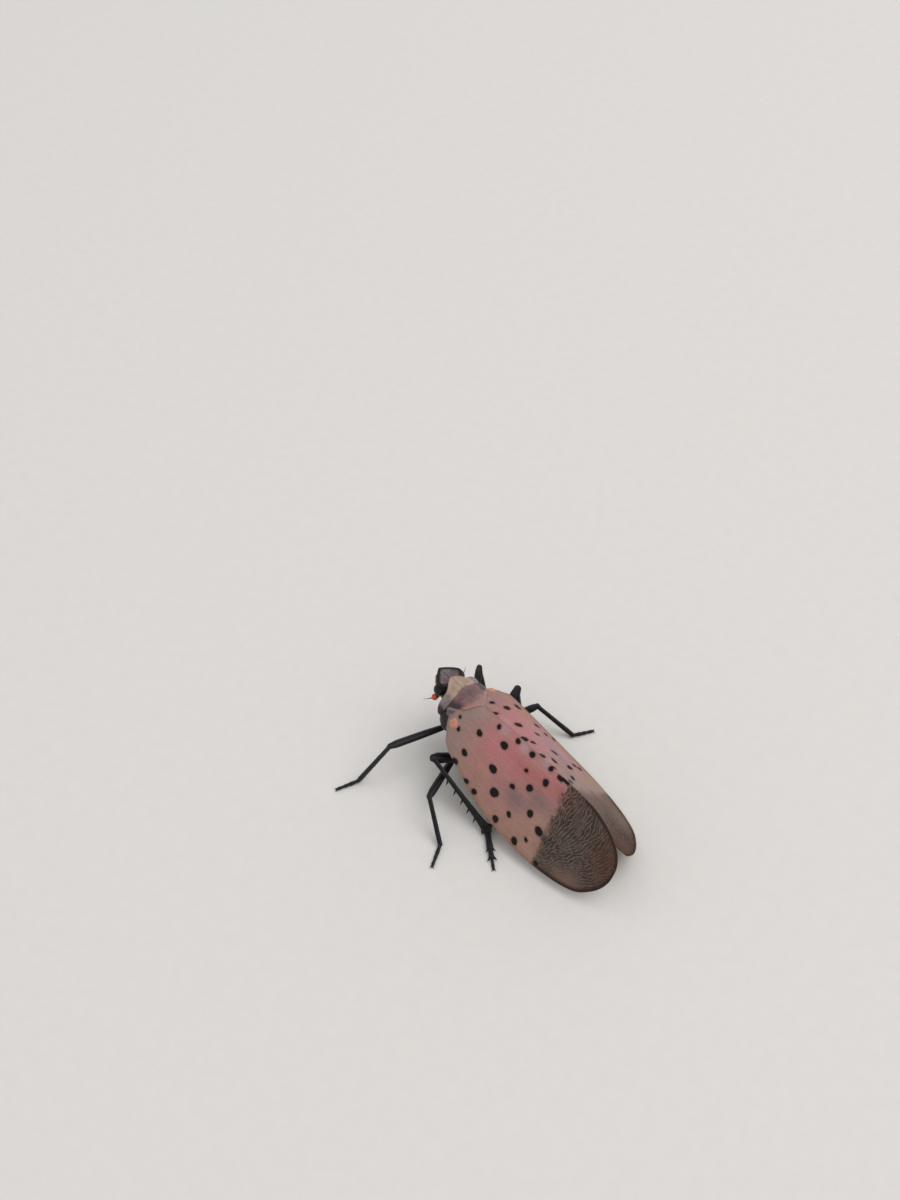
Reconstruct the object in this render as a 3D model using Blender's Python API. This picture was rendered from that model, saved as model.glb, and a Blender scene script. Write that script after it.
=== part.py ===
"""Spotted lanternfly at rest, life size, as a still model.

The head points along -Y and the insect's own left is +X. Lengths below are in millimetres,
and every mesh is scaled to metres as it is made. The feet stand on the plane Z = 0.
"""
import math

import bmesh
import bpy
from mathutils import Matrix, Vector

MM = 0.001
GAP = 0.3
MEMBRANE = 0.5

# Body lengths along Y, measured from the middle of the wings
WING_LENGTH = 20.0
WING_START = -8.3
RIDGE_HEIGHT = 8.3
HEAD_APEX = -10.9
HEAD_BACK = -9.05
COLLAR_FRONT = HEAD_BACK + GAP
COLLAR_BACK = -8.0
SHIELD_FRONT = COLLAR_BACK + GAP
SHIELD_TIP = -5.15
SHIELD_TIP_HALF_WIDTH = 0.24
THORAX_FRONT = SHIELD_FRONT + 0.1
THORAX_BACK = -4.45
ABDOMEN_FRONT = THORAX_BACK + GAP
ABDOMEN_BACK = 4.9

# Half widths and heights of the trunk
COLLAR_HALF_WIDTH = 2.55
COLLAR_TOP = 8.1
COLLAR_BOTTOM = 4.6
SHIELD_HALF_WIDTH = 2.1
SHIELD_TOP = 8.1
SHIELD_THICKNESS = 0.75
EYE_CENTRE = Vector((1.1, -9.6, 7.05))
EYE_RADII = Vector((0.52, 0.56, 0.62))
TEGULA_CENTRE = Vector((2.5, -6.62, 6.3))
TEGULA_RADII = Vector((0.36, 0.34, 0.42))

# Wings: they fold over the body like a roof, from these places along Y
WING_ROOT = TEGULA_CENTRE.y + TEGULA_RADII.y + 0.2
RIDGE_ROOT = SHIELD_TIP + GAP + 0.2
FOREWING_ROWS = 26
HINDWING_ROWS = 16
HINDWING_TIP = 0.8
SLOPE_SPAN = 8.0
SHOULDER_LENGTH = 1.2
SHOULDER_DROP = 0.8
MAIN_VEINS = (0.1, 0.26, 0.43, 0.6, 0.78, 0.93)
VEIN_HALF_WIDTH = 0.17
VEIN_HEIGHT = 0.14

# Legs
SIDES = 8
FEMUR_RADIUS = 0.28
TIBIA_RADIUS = 0.25
TARSUS_RADIUS = 0.26
COXA_RADIUS = 0.42
ANKLE_HEIGHT = 0.35
UP = Vector((0, 0, 1))
TARSUS_SHARES = (0.0, 0.38, 0.46, 0.66, 0.72, 0.93, 1.0)
HIND_SPINE_JOINTS = (1, 3)
CLAW_REACH = 0.3
TIBIA_SPINES = (0.36, 0.5, 0.63, 0.76)
CROWN_SPINES = 6
CROWN_ROOM = 0.25


def clear_scene():
    for old in list(bpy.data.objects):
        bpy.data.objects.remove(old, do_unlink=True)


def new_collection(name):
    made = bpy.data.collections.new(name)
    bpy.context.scene.collection.children.link(made)
    return made


def make_material(name, colour, roughness):
    made = bpy.data.materials.new(name)
    made.use_nodes = True
    shader = made.node_tree.nodes["Principled BSDF"]
    shader.inputs["Base Color"].default_value = (*colour, 1.0)
    shader.inputs["Roughness"].default_value = roughness
    shader.inputs["Metallic"].default_value = 0.0
    return made


def lerp(a, b, t):
    return a + (b - a) * t


def smooth_steps(stations, values, at):
    """Read a value between stations along a smooth curve that never overshoots them."""
    count = len(stations)
    slopes = [(values[i + 1] - values[i]) / (stations[i + 1] - stations[i]) for i in range(count - 1)]
    tangents = [slopes[0]]
    for before, after in zip(slopes, slopes[1:]):
        tangents.append(2 * before * after / (before + after) if before * after > 0 else 0.0)
    tangents.append(slopes[-1])
    at = min(max(at, stations[0]), stations[-1])
    i = max(k for k in range(count - 1) if stations[k] <= at)
    step = stations[i + 1] - stations[i]
    t = (at - stations[i]) / step
    return (
        (2 * t**3 - 3 * t**2 + 1) * values[i]
        + (t**3 - 2 * t**2 + t) * step * tangents[i]
        + (3 * t**2 - 2 * t**3) * values[i + 1]
        + (t**3 - t**2) * step * tangents[i + 1]
    )


def superellipse(width, height, power, count):
    """Points of a closed rounded outline about the origin, as pairs."""
    outline = []
    for k in range(count):
        angle = 2 * math.pi * (k + 0.5) / count
        c, s = math.cos(angle), math.sin(angle)
        x = width * math.copysign(abs(c) ** (2 / power), c)
        z = height * math.copysign(abs(s) ** (2 / power), s)
        outline.append((x, z))
    return outline


def mesh_object(name, points, faces, material, collection):
    """One closed triangle mesh from points in millimetres, its faces turned outward."""
    mesh = bpy.data.meshes.new(name)
    mesh.from_pydata([Vector(p) * MM for p in points], [], faces)
    work = bmesh.new()
    work.from_mesh(mesh)
    bmesh.ops.recalc_face_normals(work, faces=work.faces)
    work.to_mesh(mesh)
    work.free()
    mesh.materials.append(material)
    mesh.shade_smooth()
    made = bpy.data.objects.new(name, mesh)
    collection.objects.link(made)
    return made


def loft(name, rings, material, collection):
    """Skin a row of rings that all have the same number of points, and close both ends."""
    points = [p for ring in rings for p in ring]
    count = len(rings[0])
    faces = []
    for r in range(len(rings) - 1):
        for k in range(count):
            a = r * count + k
            b = r * count + (k + 1) % count
            faces.append((a, b, b + count))
            faces.append((a, b + count, a + count))
    for first, ring in ((0, rings[0]), ((len(rings) - 1) * count, rings[-1])):
        centre = len(points)
        points.append(sum((Vector(p) for p in ring), Vector()) / count)
        for k in range(count):
            faces.append((first + k, first + (k + 1) % count, centre))
    return mesh_object(name, points, faces, material, collection)


def sheet(name, outer, inner, material, collection):
    """A thin vane between two like grids of points, split alike on both faces."""
    rows, columns = len(outer), len(outer[0])
    points = [p for row in outer for p in row] + [p for row in inner for p in row]
    back = rows * columns
    faces = []
    for r in range(rows - 1):
        for c in range(columns - 1):
            a = r * columns + c
            b, d, e = a + 1, a + columns, a + columns + 1
            faces += [(a, b, e), (a, e, d)]
            faces += [(back + a, back + e, back + b), (back + a, back + d, back + e)]
    rim = [(0, c) for c in range(columns)]
    rim += [(r, columns - 1) for r in range(1, rows)]
    rim += [(rows - 1, c) for c in range(columns - 2, -1, -1)]
    rim += [(r, 0) for r in range(rows - 2, 0, -1)]
    for (r0, c0), (r1, c1) in zip(rim, rim[1:] + rim[:1]):
        a, b = r0 * columns + c0, r1 * columns + c1
        faces += [(a, back + b, b), (a, back + a, back + b)]
    return mesh_object(name, points, faces, material, collection)


def ellipsoid(name, centre, radii, material, collection, around=12, along=8):
    mesh = bpy.data.meshes.new(name)
    work = bmesh.new()
    place = Matrix.Translation(Vector(centre) * MM) @ Matrix.Diagonal((*(Vector(radii) * MM), 1.0))
    bmesh.ops.create_uvsphere(work, u_segments=around, v_segments=along, radius=1.0, matrix=place)
    bmesh.ops.triangulate(work, faces=work.faces)
    work.to_mesh(mesh)
    work.free()
    mesh.materials.append(material)
    mesh.shade_smooth()
    made = bpy.data.objects.new(name, mesh)
    collection.objects.link(made)
    return made


def slice_off(target, point, normal):
    """Cut a closed mesh by a plane, drop the side that the normal points to, and cap it."""
    work = bmesh.new()
    work.from_mesh(target.data)
    everything = work.verts[:] + work.edges[:] + work.faces[:]
    cut = bmesh.ops.bisect_plane(
        work, geom=everything, plane_co=Vector(point) * MM, plane_no=normal, clear_outer=True
    )
    rim = [piece for piece in cut["geom_cut"] if isinstance(piece, bmesh.types.BMEdge)]
    bmesh.ops.holes_fill(work, edges=rim)
    bmesh.ops.triangulate(work, faces=work.faces)
    bmesh.ops.recalc_face_normals(work, faces=work.faces)
    work.to_mesh(target.data)
    work.free()


def cut_away(target, cutter):
    """Apply one Boolean difference and throw the cutter away."""
    step = target.modifiers.new("cut", "BOOLEAN")
    step.operation = "DIFFERENCE"
    step.object = cutter
    step.solver = "EXACT"
    apply_modifiers(target)
    bpy.data.objects.remove(cutter, do_unlink=True)


def apply_modifiers(target):
    bpy.context.view_layer.update()
    seen = target.evaluated_get(bpy.context.evaluated_depsgraph_get())
    baked = bpy.data.meshes.new_from_object(seen)
    target.modifiers.clear()
    target.data = baked
    work = bmesh.new()
    work.from_mesh(baked)
    bmesh.ops.triangulate(work, faces=work.faces)
    work.to_mesh(baked)
    work.free()


def wing_outer_edge(s):
    """Distance from the ridge to the leading edge, along the wing's surface."""
    stations = (0.0, 0.08, 0.2, 0.4, 0.6, 0.75, 0.88, 0.95, 0.985, 1.0)
    widths = (2.6, 4.4, 5.8, 7.75, 8.25, 8.0, 7.35, 6.15, 4.9, 3.9)
    return smooth_steps(stations, widths, s)


class WingSurface:
    """The outer face of one folded forewing, by share of its length and distance from the ridge."""

    def __init__(self, side, start, ridge_tip_slope, edge_tip_slope):
        self.side = side
        self.start = start
        self.ridge_slopes = (math.radians(17.8), math.radians(ridge_tip_slope))
        self.edge_slopes = (math.radians(79.6), math.radians(edge_tip_slope))

    def share(self, y):
        return (y - self.start) / WING_LENGTH

    def inner_edge(self, s):
        """Distance from the ridge to the hind edge: beside the shield, at the ridge, at the tip."""
        beside_shield = lerp(WING_ROOT, RIDGE_ROOT, 0.5)
        stations = [self.share(y) for y in (WING_ROOT, beside_shield, RIDGE_ROOT)]
        stations += [0.25, 0.75, 0.88, 0.95, 0.985, 1.0]
        widths = (1.7, 1.1, 0.05, 0.0, 0.0, 0.4, 1.1, 2.05, 2.8)
        return smooth_steps(stations, widths, s)

    def outer_edge(self, s):
        """Distance from the ridge to the leading edge, less at the rounded shoulder."""
        past_root = (s - self.share(WING_ROOT)) * WING_LENGTH
        drop = SHOULDER_DROP * max(0.0, 1 - past_root / SHOULDER_LENGTH) ** 2
        return wing_outer_edge(s) - drop

    def ridge_slope(self, s):
        return lerp(*self.ridge_slopes, s)

    def ridge_offset(self, s):
        return GAP / 2 + 0.7 * MEMBRANE * math.sin(self.ridge_slope(s))

    def clear_from(self, s, depth):
        """The least distance from the ridge at which this depth is clear of the other wing."""
        t = 0.0
        while t < SLOPE_SPAN and self.side * self.point(s, t, depth).x < GAP / 2:
            t += 0.05
        return t

    def point(self, s, t, depth=0.0):
        """A point that lies depth under the outer face, so a raised one has a negative depth."""
        start = self.ridge_slope(s)
        turn = (lerp(*self.edge_slopes, s) - start) / SLOPE_SPAN
        slope = start + turn * t
        along = WING_LENGTH * s
        x = self.ridge_offset(s) + (math.sin(slope) - math.sin(start)) / turn
        z = RIDGE_HEIGHT + 0.022 * along - 0.005 * along**2 + (math.cos(slope) - math.cos(start)) / turn
        x -= depth * math.sin(slope)
        z -= depth * math.cos(slope)
        return Vector((self.side * x, self.start + along + 0.04 * t, z))


def forewing_columns():
    """Shares of the wing's width, each with 1 on a vein's crest and 0 off it."""
    columns = [(0.0, 0)]
    for k, vein in enumerate(MAIN_VEINS):
        before = MAIN_VEINS[k - 1] if k else 0.0
        if vein - before > 0.12:
            columns.append(((vein + before) / 2, 0))
        foot = VEIN_HALF_WIDTH / SLOPE_SPAN
        columns += [(vein - foot, 0), (vein, 1), (vein + foot, 0)]
    return columns + [(1.0, 0)]


def build_forewing(side_name, surface, material, collection):
    root = surface.share(WING_ROOT)
    outer, inner = [], []
    for r in range(FOREWING_ROWS + 1):
        s = lerp(root, 1.0, 1 - (1 - r / FOREWING_ROWS) ** 1.35)
        near, far = surface.inner_edge(s), surface.outer_edge(s)
        fade = min(1.0, 4 * (1.0 - s))
        top_row, under_row = [], []
        for share, crest in forewing_columns():
            t = lerp(near, far, share)
            top_row.append(surface.point(s, t, -crest * fade * VEIN_HEIGHT))
            under = surface.point(s, t, MEMBRANE)
            under.x = surface.side * max(surface.side * under.x, GAP / 2)
            under_row.append(under)
        outer.append(top_row)
        inner.append(under_row)
    return sheet("forewing_" + side_name, outer, inner, material, collection)


def build_hindwing(side_name, surface, material, collection):
    """The smaller wing, folded flat under the forewing and clear of it."""
    columns = 8
    top, under = MEMBRANE + GAP, 2 * MEMBRANE + GAP
    outer, inner = [], []
    for r in range(HINDWING_ROWS + 1):
        v = r / HINDWING_ROWS
        s = lerp(surface.share(RIDGE_ROOT - 0.3), HINDWING_TIP, v)
        near = surface.clear_from(s, under) + 0.1 + 1.1 * (1 - v) ** 6
        far = surface.outer_edge(s) - 1.1
        middle = lerp(near, far, 0.5)
        half = (far - near) / 2 * (1 - v**9) ** 0.5 + 0.25 * v**9
        across = [middle + half * (2 * c / (columns - 1) - 1) for c in range(columns)]
        outer.append([surface.point(s, t, top) for t in across])
        inner.append([surface.point(s, t, under) for t in across])
    return sheet("hindwing_" + side_name, outer, inner, material, collection)


def build_head(material, collection):
    """A blunt wedge seen from above, with the long face running down to the beak."""
    levels = (3.75, 4.3, 5.0, 5.8, 6.6, 7.3, 7.8, 8.05)
    half_widths = (0.34, 0.58, 0.8, 0.98, 1.16, 1.18, 1.0, 0.6)
    fronts = (-9.7, -10.05, -10.4, -10.7, HEAD_APEX, HEAD_APEX, -10.65, -10.1)
    backs = (-9.2, -9.1, HEAD_BACK, HEAD_BACK, HEAD_BACK, HEAD_BACK, HEAD_BACK, -9.2)
    count = 20
    rings = []
    for z, half, front, back in zip(levels, half_widths, fronts, backs):
        cheek = max(EYE_CENTRE.y, lerp(front, back, 0.6))
        ring = []
        for k in range(count):
            angle = 2 * math.pi * k / count
            c, s = math.cos(angle), math.sin(angle)
            power = 1.6 if s < 0 else 3.5
            reach = cheek - front if s < 0 else back - cheek
            x = half * math.copysign(abs(c) ** (2 / max(power, 2.0)), c)
            y = cheek + reach * math.copysign(abs(s) ** (2 / power), s)
            ring.append((x, y, z))
        rings.append(ring)
    head = loft("head", rings, material, collection)
    for side in (1, -1):
        centre = Vector((side * EYE_CENTRE.x, EYE_CENTRE.y, EYE_CENTRE.z))
        room = EYE_RADII + Vector((GAP, GAP, GAP))
        socket = ellipsoid("socket", centre, room, material, collection)
        slice_off(socket, centre - Vector((side * (0.1 + GAP), 0, 0)), Vector((-side, 0, 0)))
        cut_away(head, socket)
    return head


def build_eyes(material, collection):
    for side, word in ((1, "left"), (-1, "right")):
        centre = Vector((side * EYE_CENTRE.x, EYE_CENTRE.y, EYE_CENTRE.z))
        eye = ellipsoid("eye_" + word, centre, EYE_RADII, material, collection, around=14, along=10)
        slice_off(eye, centre - Vector((side * 0.1, 0, 0)), Vector((-side, 0, 0)))


def build_antennae(material, collection):
    """A short foot, a swollen second joint and a bristle, under each eye."""
    for side, word in ((1, "left"), (-1, "right")):
        path = [(1.28, -9.9, 5.78), (1.4, -9.93, 5.8), (1.58, -9.98, 5.82), (1.76, -10.03, 5.83)]
        path += [(1.9, -10.08, 5.85), (2.25, -10.25, 5.93), (2.6, -10.45, 6.05)]
        radii = (0.2, 0.24, 0.31, 0.28, 0.18, 0.09, 0.05)
        points = [Vector((side * x, y, z)) for x, y, z in path]
        tube("antenna_" + word, points, radii, material, collection, domed=False)


def build_collar(material, collection):
    """The pronotum with its sides, a crescent round the back of the head."""
    rings = []
    count = 14
    for k in range(-7, 8):
        u = k / 7
        reach = abs(u)
        front = COLLAR_FRONT + 0.6 * reach**2
        back = COLLAR_BACK + 0.75 * reach**1.5
        top = COLLAR_TOP - 1.55 * reach**2.2
        bottom = COLLAR_BOTTOM + 0.8 * reach**2
        shrink = 0.72 if abs(k) == 7 else 1.0
        outline = superellipse((back - front) / 2 * shrink, (top - bottom) / 2 * shrink, 3.0, count)
        middle_y, middle_z = (front + back) / 2, (top + bottom) / 2
        x = u * COLLAR_HALF_WIDTH
        rings.append([(x, middle_y + y, middle_z + z) for y, z in outline])
    return loft("pronotum", rings, material, collection)


def build_shield(material, collection):
    """The mesonotum: its front fits the collar, and it narrows to the scutellum's tip."""
    outer, inner = [], []
    rows, half_columns = 9, 5
    for r in range(rows + 1):
        v = r / rows
        half = lerp(SHIELD_HALF_WIDTH, SHIELD_TIP_HALF_WIDTH, v**1.1)
        top_row, under_row = [], []
        for c in range(-half_columns, half_columns + 1):
            u = c / half_columns
            x = u * half
            front = SHIELD_FRONT + 0.58 * abs(u) ** 1.5
            y = lerp(front, SHIELD_TIP, v)
            z = SHIELD_TOP + 0.2 * math.sin(math.pi * v) - 1.0 * (abs(x) / SHIELD_HALF_WIDTH) ** 2
            top_row.append((x, y, z))
            under_row.append((x, y, z - SHIELD_THICKNESS))
        outer.append(top_row)
        inner.append(under_row)
    return sheet("mesonotum", outer, inner, material, collection)


def build_thorax(material, collection):
    stations = (THORAX_FRONT, -7.5, -7.35, -7.05, -6.5, -5.6, -4.9, THORAX_BACK)
    half_widths = (0.65, 1.08, 1.5, 1.9, 2.1, 2.05, 1.55, 1.2)
    tops = (6.3, 6.6, 6.85, 6.93, 6.95, 6.65, 6.05, 5.6)
    bottoms = (4.3, 3.8, 3.5, 3.3, 3.0, 2.8, 2.8, 3.0)
    return stacked("thorax", stations, half_widths, tops, bottoms, 2.7, 20, material, collection)


def stacked(name, stations, half_widths, tops, bottoms, power, count, material, collection):
    """A body of rounded sections set along Y."""
    rings = []
    for y, half, top, bottom in zip(stations, half_widths, tops, bottoms):
        outline = superellipse(half, (top - bottom) / 2, power, count)
        middle = (top + bottom) / 2
        rings.append([(x, y, middle + z) for x, z in outline])
    return loft(name, rings, material, collection)


def build_abdomen(material, collection):
    """Eight rings of the abdomen, each a little wider at its back edge."""
    segments = 8
    stations = (0.0, 0.1, 0.3, 0.5, 0.7, 0.85, 0.95, 1.0)
    widths = (1.35, 1.65, 1.75, 1.68, 1.4, 1.0, 0.62, 0.35)
    tops = (5.45, 5.45, 5.3, 5.05, 4.65, 4.25, 3.95, 3.75)
    bottoms = (3.0, 2.0, 1.6, 1.5, 1.65, 1.95, 2.4, 2.75)
    step = 0.07
    places, halves, highs, lows = [], [], [], []
    for k in range(segments):
        for share, swell in ((0.0, -step), (0.85, 0.0)):
            v = (k + share) / segments
            places.append(lerp(ABDOMEN_FRONT, ABDOMEN_BACK, v))
            halves.append(smooth_steps(stations, widths, v) + swell)
            highs.append(smooth_steps(stations, tops, v) + swell)
            lows.append(smooth_steps(stations, bottoms, v) - swell)
    places.append(ABDOMEN_BACK)
    halves.append(widths[-1])
    highs.append(tops[-1])
    lows.append(bottoms[-1])
    return stacked("abdomen", places, halves, highs, lows, 2.0, 16, material, collection)


def build_tegulae(material, collection):
    for side, word in ((1, "left"), (-1, "right")):
        centre = (side * TEGULA_CENTRE.x, TEGULA_CENTRE.y, TEGULA_CENTRE.z)
        ellipsoid("tegula_" + word, centre, TEGULA_RADII, material, collection, around=10, along=6)


def build_rostrum(material, collection):
    path = ((0, -9.42, 3.3), (0, -8.7, 2.45), (0, -7.7, 1.8), (0, -6.4, 1.35), (0, -4.7, 1.1))
    radii = (0.28, 0.28, 0.26, 0.25, 0.16)
    return tube("rostrum", [Vector(p) for p in path], radii, material, collection)


def ring_about(centre, forward, radius, up, sides=SIDES):
    across = forward.cross(up).normalized()
    over = across.cross(forward).normalized()
    ring = []
    for k in range(sides):
        angle = 2 * math.pi * (k + 0.5) / sides
        ring.append(centre + across * (radius * math.cos(angle)) + over * (radius * math.sin(angle)))
    return ring


def tube(name, path, radii, material, collection, domed=True, up=Vector((0.13, 0.21, 1.0))):
    """A tapered rod along a path; a domed one has rounded ends inside the path's length."""
    directions = []
    for k in range(len(path)):
        before = path[max(k - 1, 0)]
        after = path[min(k + 1, len(path) - 1)]
        directions.append((after - before).normalized())
    rings = [ring_about(p, d, r, up) for p, d, r in zip(path, directions, radii)]
    if domed:
        first, last = radii[0], radii[-1]
        rings[0] = ring_about(path[0] + directions[0] * first * 0.45, directions[0], first, up)
        rings[-1] = ring_about(path[-1] - directions[-1] * last * 0.45, directions[-1], last, up)
        rings.insert(0, ring_about(path[0], directions[0], first * 0.6, up))
        rings.append(ring_about(path[-1], directions[-1], last * 0.6, up))
    return loft(name, rings, material, collection)


def spike(root, direction, length, radius, material, collection):
    """A thin five-sided cone that stands on its root."""
    mesh = bpy.data.meshes.new("spike")
    work = bmesh.new()
    place = Matrix.Translation((root + direction * length / 2) * MM)
    turn = direction.to_track_quat("Z", "Y").to_matrix().to_4x4()
    bmesh.ops.create_cone(
        work, cap_ends=True, segments=5, radius1=radius * MM, radius2=0.0, depth=length * MM,
        matrix=place @ turn,
    )
    bmesh.ops.triangulate(work, faces=work.faces)
    work.to_mesh(mesh)
    work.free()
    mesh.materials.append(material)
    made = bpy.data.objects.new("spike", mesh)
    collection.objects.link(made)


def grow(target, spikes):
    """Join a collection of spikes to the segment that carries them, as one closed surface."""
    step = target.modifiers.new("join", "BOOLEAN")
    step.operation = "UNION"
    step.operand_type = "COLLECTION"
    step.collection = spikes
    step.solver = "EXACT"
    apply_modifiers(target)
    for old in list(spikes.objects):
        bpy.data.objects.remove(old, do_unlink=True)
    bpy.data.collections.remove(spikes)
    keep_largest(target)


def keep_largest(target):
    work = bmesh.new()
    work.from_mesh(target.data)
    loose = set(work.faces)
    islands = []
    while loose:
        island, front = set(), [loose.pop()]
        while front:
            face = front.pop()
            island.add(face)
            near = {other for edge in face.edges for other in edge.link_faces if other in loose}
            loose -= near
            front.extend(near)
        islands.append(island)
    islands.sort(key=lambda island: sum(face.calc_area() for face in island))
    for island in islands[:-1]:
        bmesh.ops.delete(work, geom=list(island), context="FACES")
    work.to_mesh(target.data)
    work.free()


def clear_of(parent, child, parent_radius, child_radius):
    """How far from their joint a child rod starts, so that it keeps the gap to its parent's rod."""
    bend = (-parent).angle(child)
    room = parent_radius + GAP
    if bend >= math.pi / 2:
        return room
    return max(room, (room + child_radius * math.cos(bend)) / math.sin(bend))


def rod(name, start, end, parent, parent_radius, radii, material, collection):
    """A leg segment from its joint to the next one, starting clear of the segment before it."""
    child = (end - start).normalized()
    begin = start + child * clear_of(parent, child, parent_radius, radii[0])
    path = [lerp(begin, end, k / (len(radii) - 1)) for k in range(len(radii))]
    return tube(name, path, radii, material, collection), child


def foot(name, ankle, tip, parent, parent_radius, spine_joints, material, collection):
    """The tarsus: its joints lie along the floor on a narrow flat, and it ends in two claws."""
    flat = math.cos(math.pi / SIDES)
    level = Vector((tip.x - ankle.x, tip.y - ankle.y, 0))
    reach = level.length
    ahead = level / reach
    begin = clear_of(parent, ahead, parent_radius, TARSUS_RADIUS)
    if spine_joints:
        begin += CROWN_ROOM
    radii = (0.24, TARSUS_RADIUS, 0.22, TARSUS_RADIUS, 0.22, TARSUS_RADIUS, 0.15)
    rings, centres = [], []
    for share, radius in zip(TARSUS_SHARES, radii):
        along = lerp(begin, reach - CLAW_REACH, share)
        centre = Vector((ankle.x, ankle.y, 0)) + ahead * along + Vector((0, 0, radius * flat))
        centres.append(centre)
        rings.append(ring_about(centre, ahead, radius, UP))
    tarsus = loft(name, rings, material, collection)
    spikes = new_collection(name + "_spikes")
    across = ahead.cross(UP)
    for side in (1, -1):
        claw = (ahead + across * side * 0.55 - UP * 0.12).normalized()
        spike(centres[-2], claw, 0.3 + CLAW_REACH, 0.11, material, spikes)
        for k in spine_joints:
            spine = (ahead * 0.75 + across * side + UP * 0.1).normalized()
            spike(centres[k], spine, TARSUS_RADIUS + 0.3, 0.11, material, spikes)
    grow(tarsus, spikes)


# Leg joints, from the coxa's root to the trochanter, knee, ankle and the tip of the foot
LEG_JOINTS = {
    "front_left": (
        (1.15, -8.25, 4.4), (1.65, -8.5, 3.2), (6.95, -9.75, 4.2), (9.8, -11.15), (11.9, -11.9),
    ),
    "front_right": (
        (-1.15, -8.25, 4.4), (-1.65, -8.5, 3.2), (-4.0, -10.2, 5.0), (-4.1, -9.45), (-4.25, -11.6),
    ),
    "middle_left": (
        (1.2, -6.75, 2.75), (2.0, -6.7, 1.5), (7.25, -4.4, 2.6), (8.85, -1.4), (10.8, -0.3),
    ),
    "middle_right": (
        (-1.2, -6.75, 2.75), (-2.0, -6.75, 1.45), (-5.95, -4.8, 2.6), (-7.15, -1.5), (-8.95, -0.55),
    ),
    "hind_left": (
        (1.0, -5.2, 2.5), (1.4, -5.4, 1.45), (4.95, -6.35, 4.0), (5.05, 0.35), (7.2, 3.5),
    ),
    "hind_right": (
        (-1.0, -5.2, 2.5), (-1.4, -5.4, 1.45), (-5.2, -6.55, 4.2), (-1.8, -1.7), (-2.4, 1.75),
    ),
}


def arm_tibia(shin, knee, ankle, along, material):
    """Spines down the outer side of a hind tibia, and a crown of them round its end."""
    spikes = new_collection(shin.name + "_spikes")
    outward = Vector((math.copysign(1.0, knee.x), 0, 0))
    outward = (outward - along * outward.dot(along)).normalized()
    for share in TIBIA_SPINES:
        lean = (outward + along * 0.45).normalized()
        spike(lerp(knee, ankle, share), lean, TIBIA_RADIUS + 0.42, 0.13, material, spikes)
    above = along.cross(outward).normalized()
    for k in range(CROWN_SPINES):
        angle = 2 * math.pi * (k + 0.5) / CROWN_SPINES
        around = outward * math.cos(angle) + above * math.sin(angle)
        lean = (along * 0.75 + around).normalized()
        if (ankle + lean * 0.5).z > 0.02:
            spike(lerp(knee, ankle, 0.965), lean, TIBIA_RADIUS + 0.3, 0.11, material, spikes)
    grow(shin, spikes)


def build_leg(word, joints, material, collection):
    root, trochanter, knee = (Vector(p) for p in joints[:3])
    ankle = Vector((*joints[3], ANKLE_HEIGHT))
    tip = Vector((*joints[4], 0))
    hind = word.startswith("hind")
    coxa = (trochanter - root).normalized()
    tube("coxa_" + word, [root, lerp(root, trochanter, 0.5), trochanter],
         (COXA_RADIUS, COXA_RADIUS, 0.3), material, collection)
    _, femur = rod("femur_" + word, trochanter, knee, coxa, 0.3,
                   (0.25, FEMUR_RADIUS, FEMUR_RADIUS + 0.03, FEMUR_RADIUS), material, collection)
    shin, tibia = rod("tibia_" + word, knee, ankle, femur, FEMUR_RADIUS,
                      (TIBIA_RADIUS, TIBIA_RADIUS, TIBIA_RADIUS, TIBIA_RADIUS + 0.02), material, collection)
    if hind:
        arm_tibia(shin, knee, ankle, tibia, material)
    foot("tarsus_" + word, ankle, tip, tibia, TIBIA_RADIUS, HIND_SPINE_JOINTS if hind else (),
         material, collection)


def centre_over_origin(collection):
    """Slide every mesh so that the middle of the whole insect's box stands over the origin."""
    corners = [v.co for part in collection.objects for v in part.data.vertices]
    middle_x = (min(c.x for c in corners) + max(c.x for c in corners)) / 2
    middle_y = (min(c.y for c in corners) + max(c.y for c in corners)) / 2
    slide = Matrix.Translation((-middle_x, -middle_y, 0))
    for part in collection.objects:
        part.data.transform(slide)


def main():
    clear_scene()
    insect = new_collection("spotted_lanternfly")
    dark = make_material("head_grey", (0.06, 0.055, 0.065), 0.55)
    eye = make_material("eye_black", (0.015, 0.013, 0.02), 0.25)
    orange = make_material("antenna_orange", (0.75, 0.16, 0.04), 0.5)
    tan = make_material("collar_tan", (0.34, 0.27, 0.21), 0.6)
    maroon = make_material("shield_maroon", (0.16, 0.085, 0.09), 0.6)
    black = make_material("leg_black", (0.02, 0.018, 0.018), 0.45)
    yellow = make_material("abdomen_yellow", (0.62, 0.42, 0.08), 0.55)
    wing = make_material("forewing_pink", (0.45, 0.27, 0.25), 0.6)
    red = make_material("hindwing_red", (0.55, 0.05, 0.04), 0.6)

    build_head(dark, insect)
    build_eyes(eye, insect)
    build_antennae(orange, insect)
    build_rostrum(black, insect)
    build_collar(tan, insect)
    build_shield(maroon, insect)
    build_thorax(dark, insect)
    build_tegulae(orange, insect)
    build_abdomen(yellow, insect)
    for side_name, surface in (
        ("left", WingSurface(1, WING_START, 69.8, 47.1)),
        ("right", WingSurface(-1, WING_START - 0.4, 89.0, 32.0)),
    ):
        build_forewing(side_name, surface, wing, insect)
        build_hindwing(side_name, surface, red, insect)
    for word, joints in LEG_JOINTS.items():
        build_leg(word, joints, black, insect)
    centre_over_origin(insect)


main()
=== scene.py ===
"""Looks of a spotted lanternfly at rest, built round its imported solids.

Lengths are in millimetres unless a line says metres. The head points along -Y and the insect's
own left is +X. Its mid-plane is X = 0 until place() slides a point into the row frame.
A forewing has its own places: along, from its start towards its tip, and across, from the ridge.
"""
import math

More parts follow.
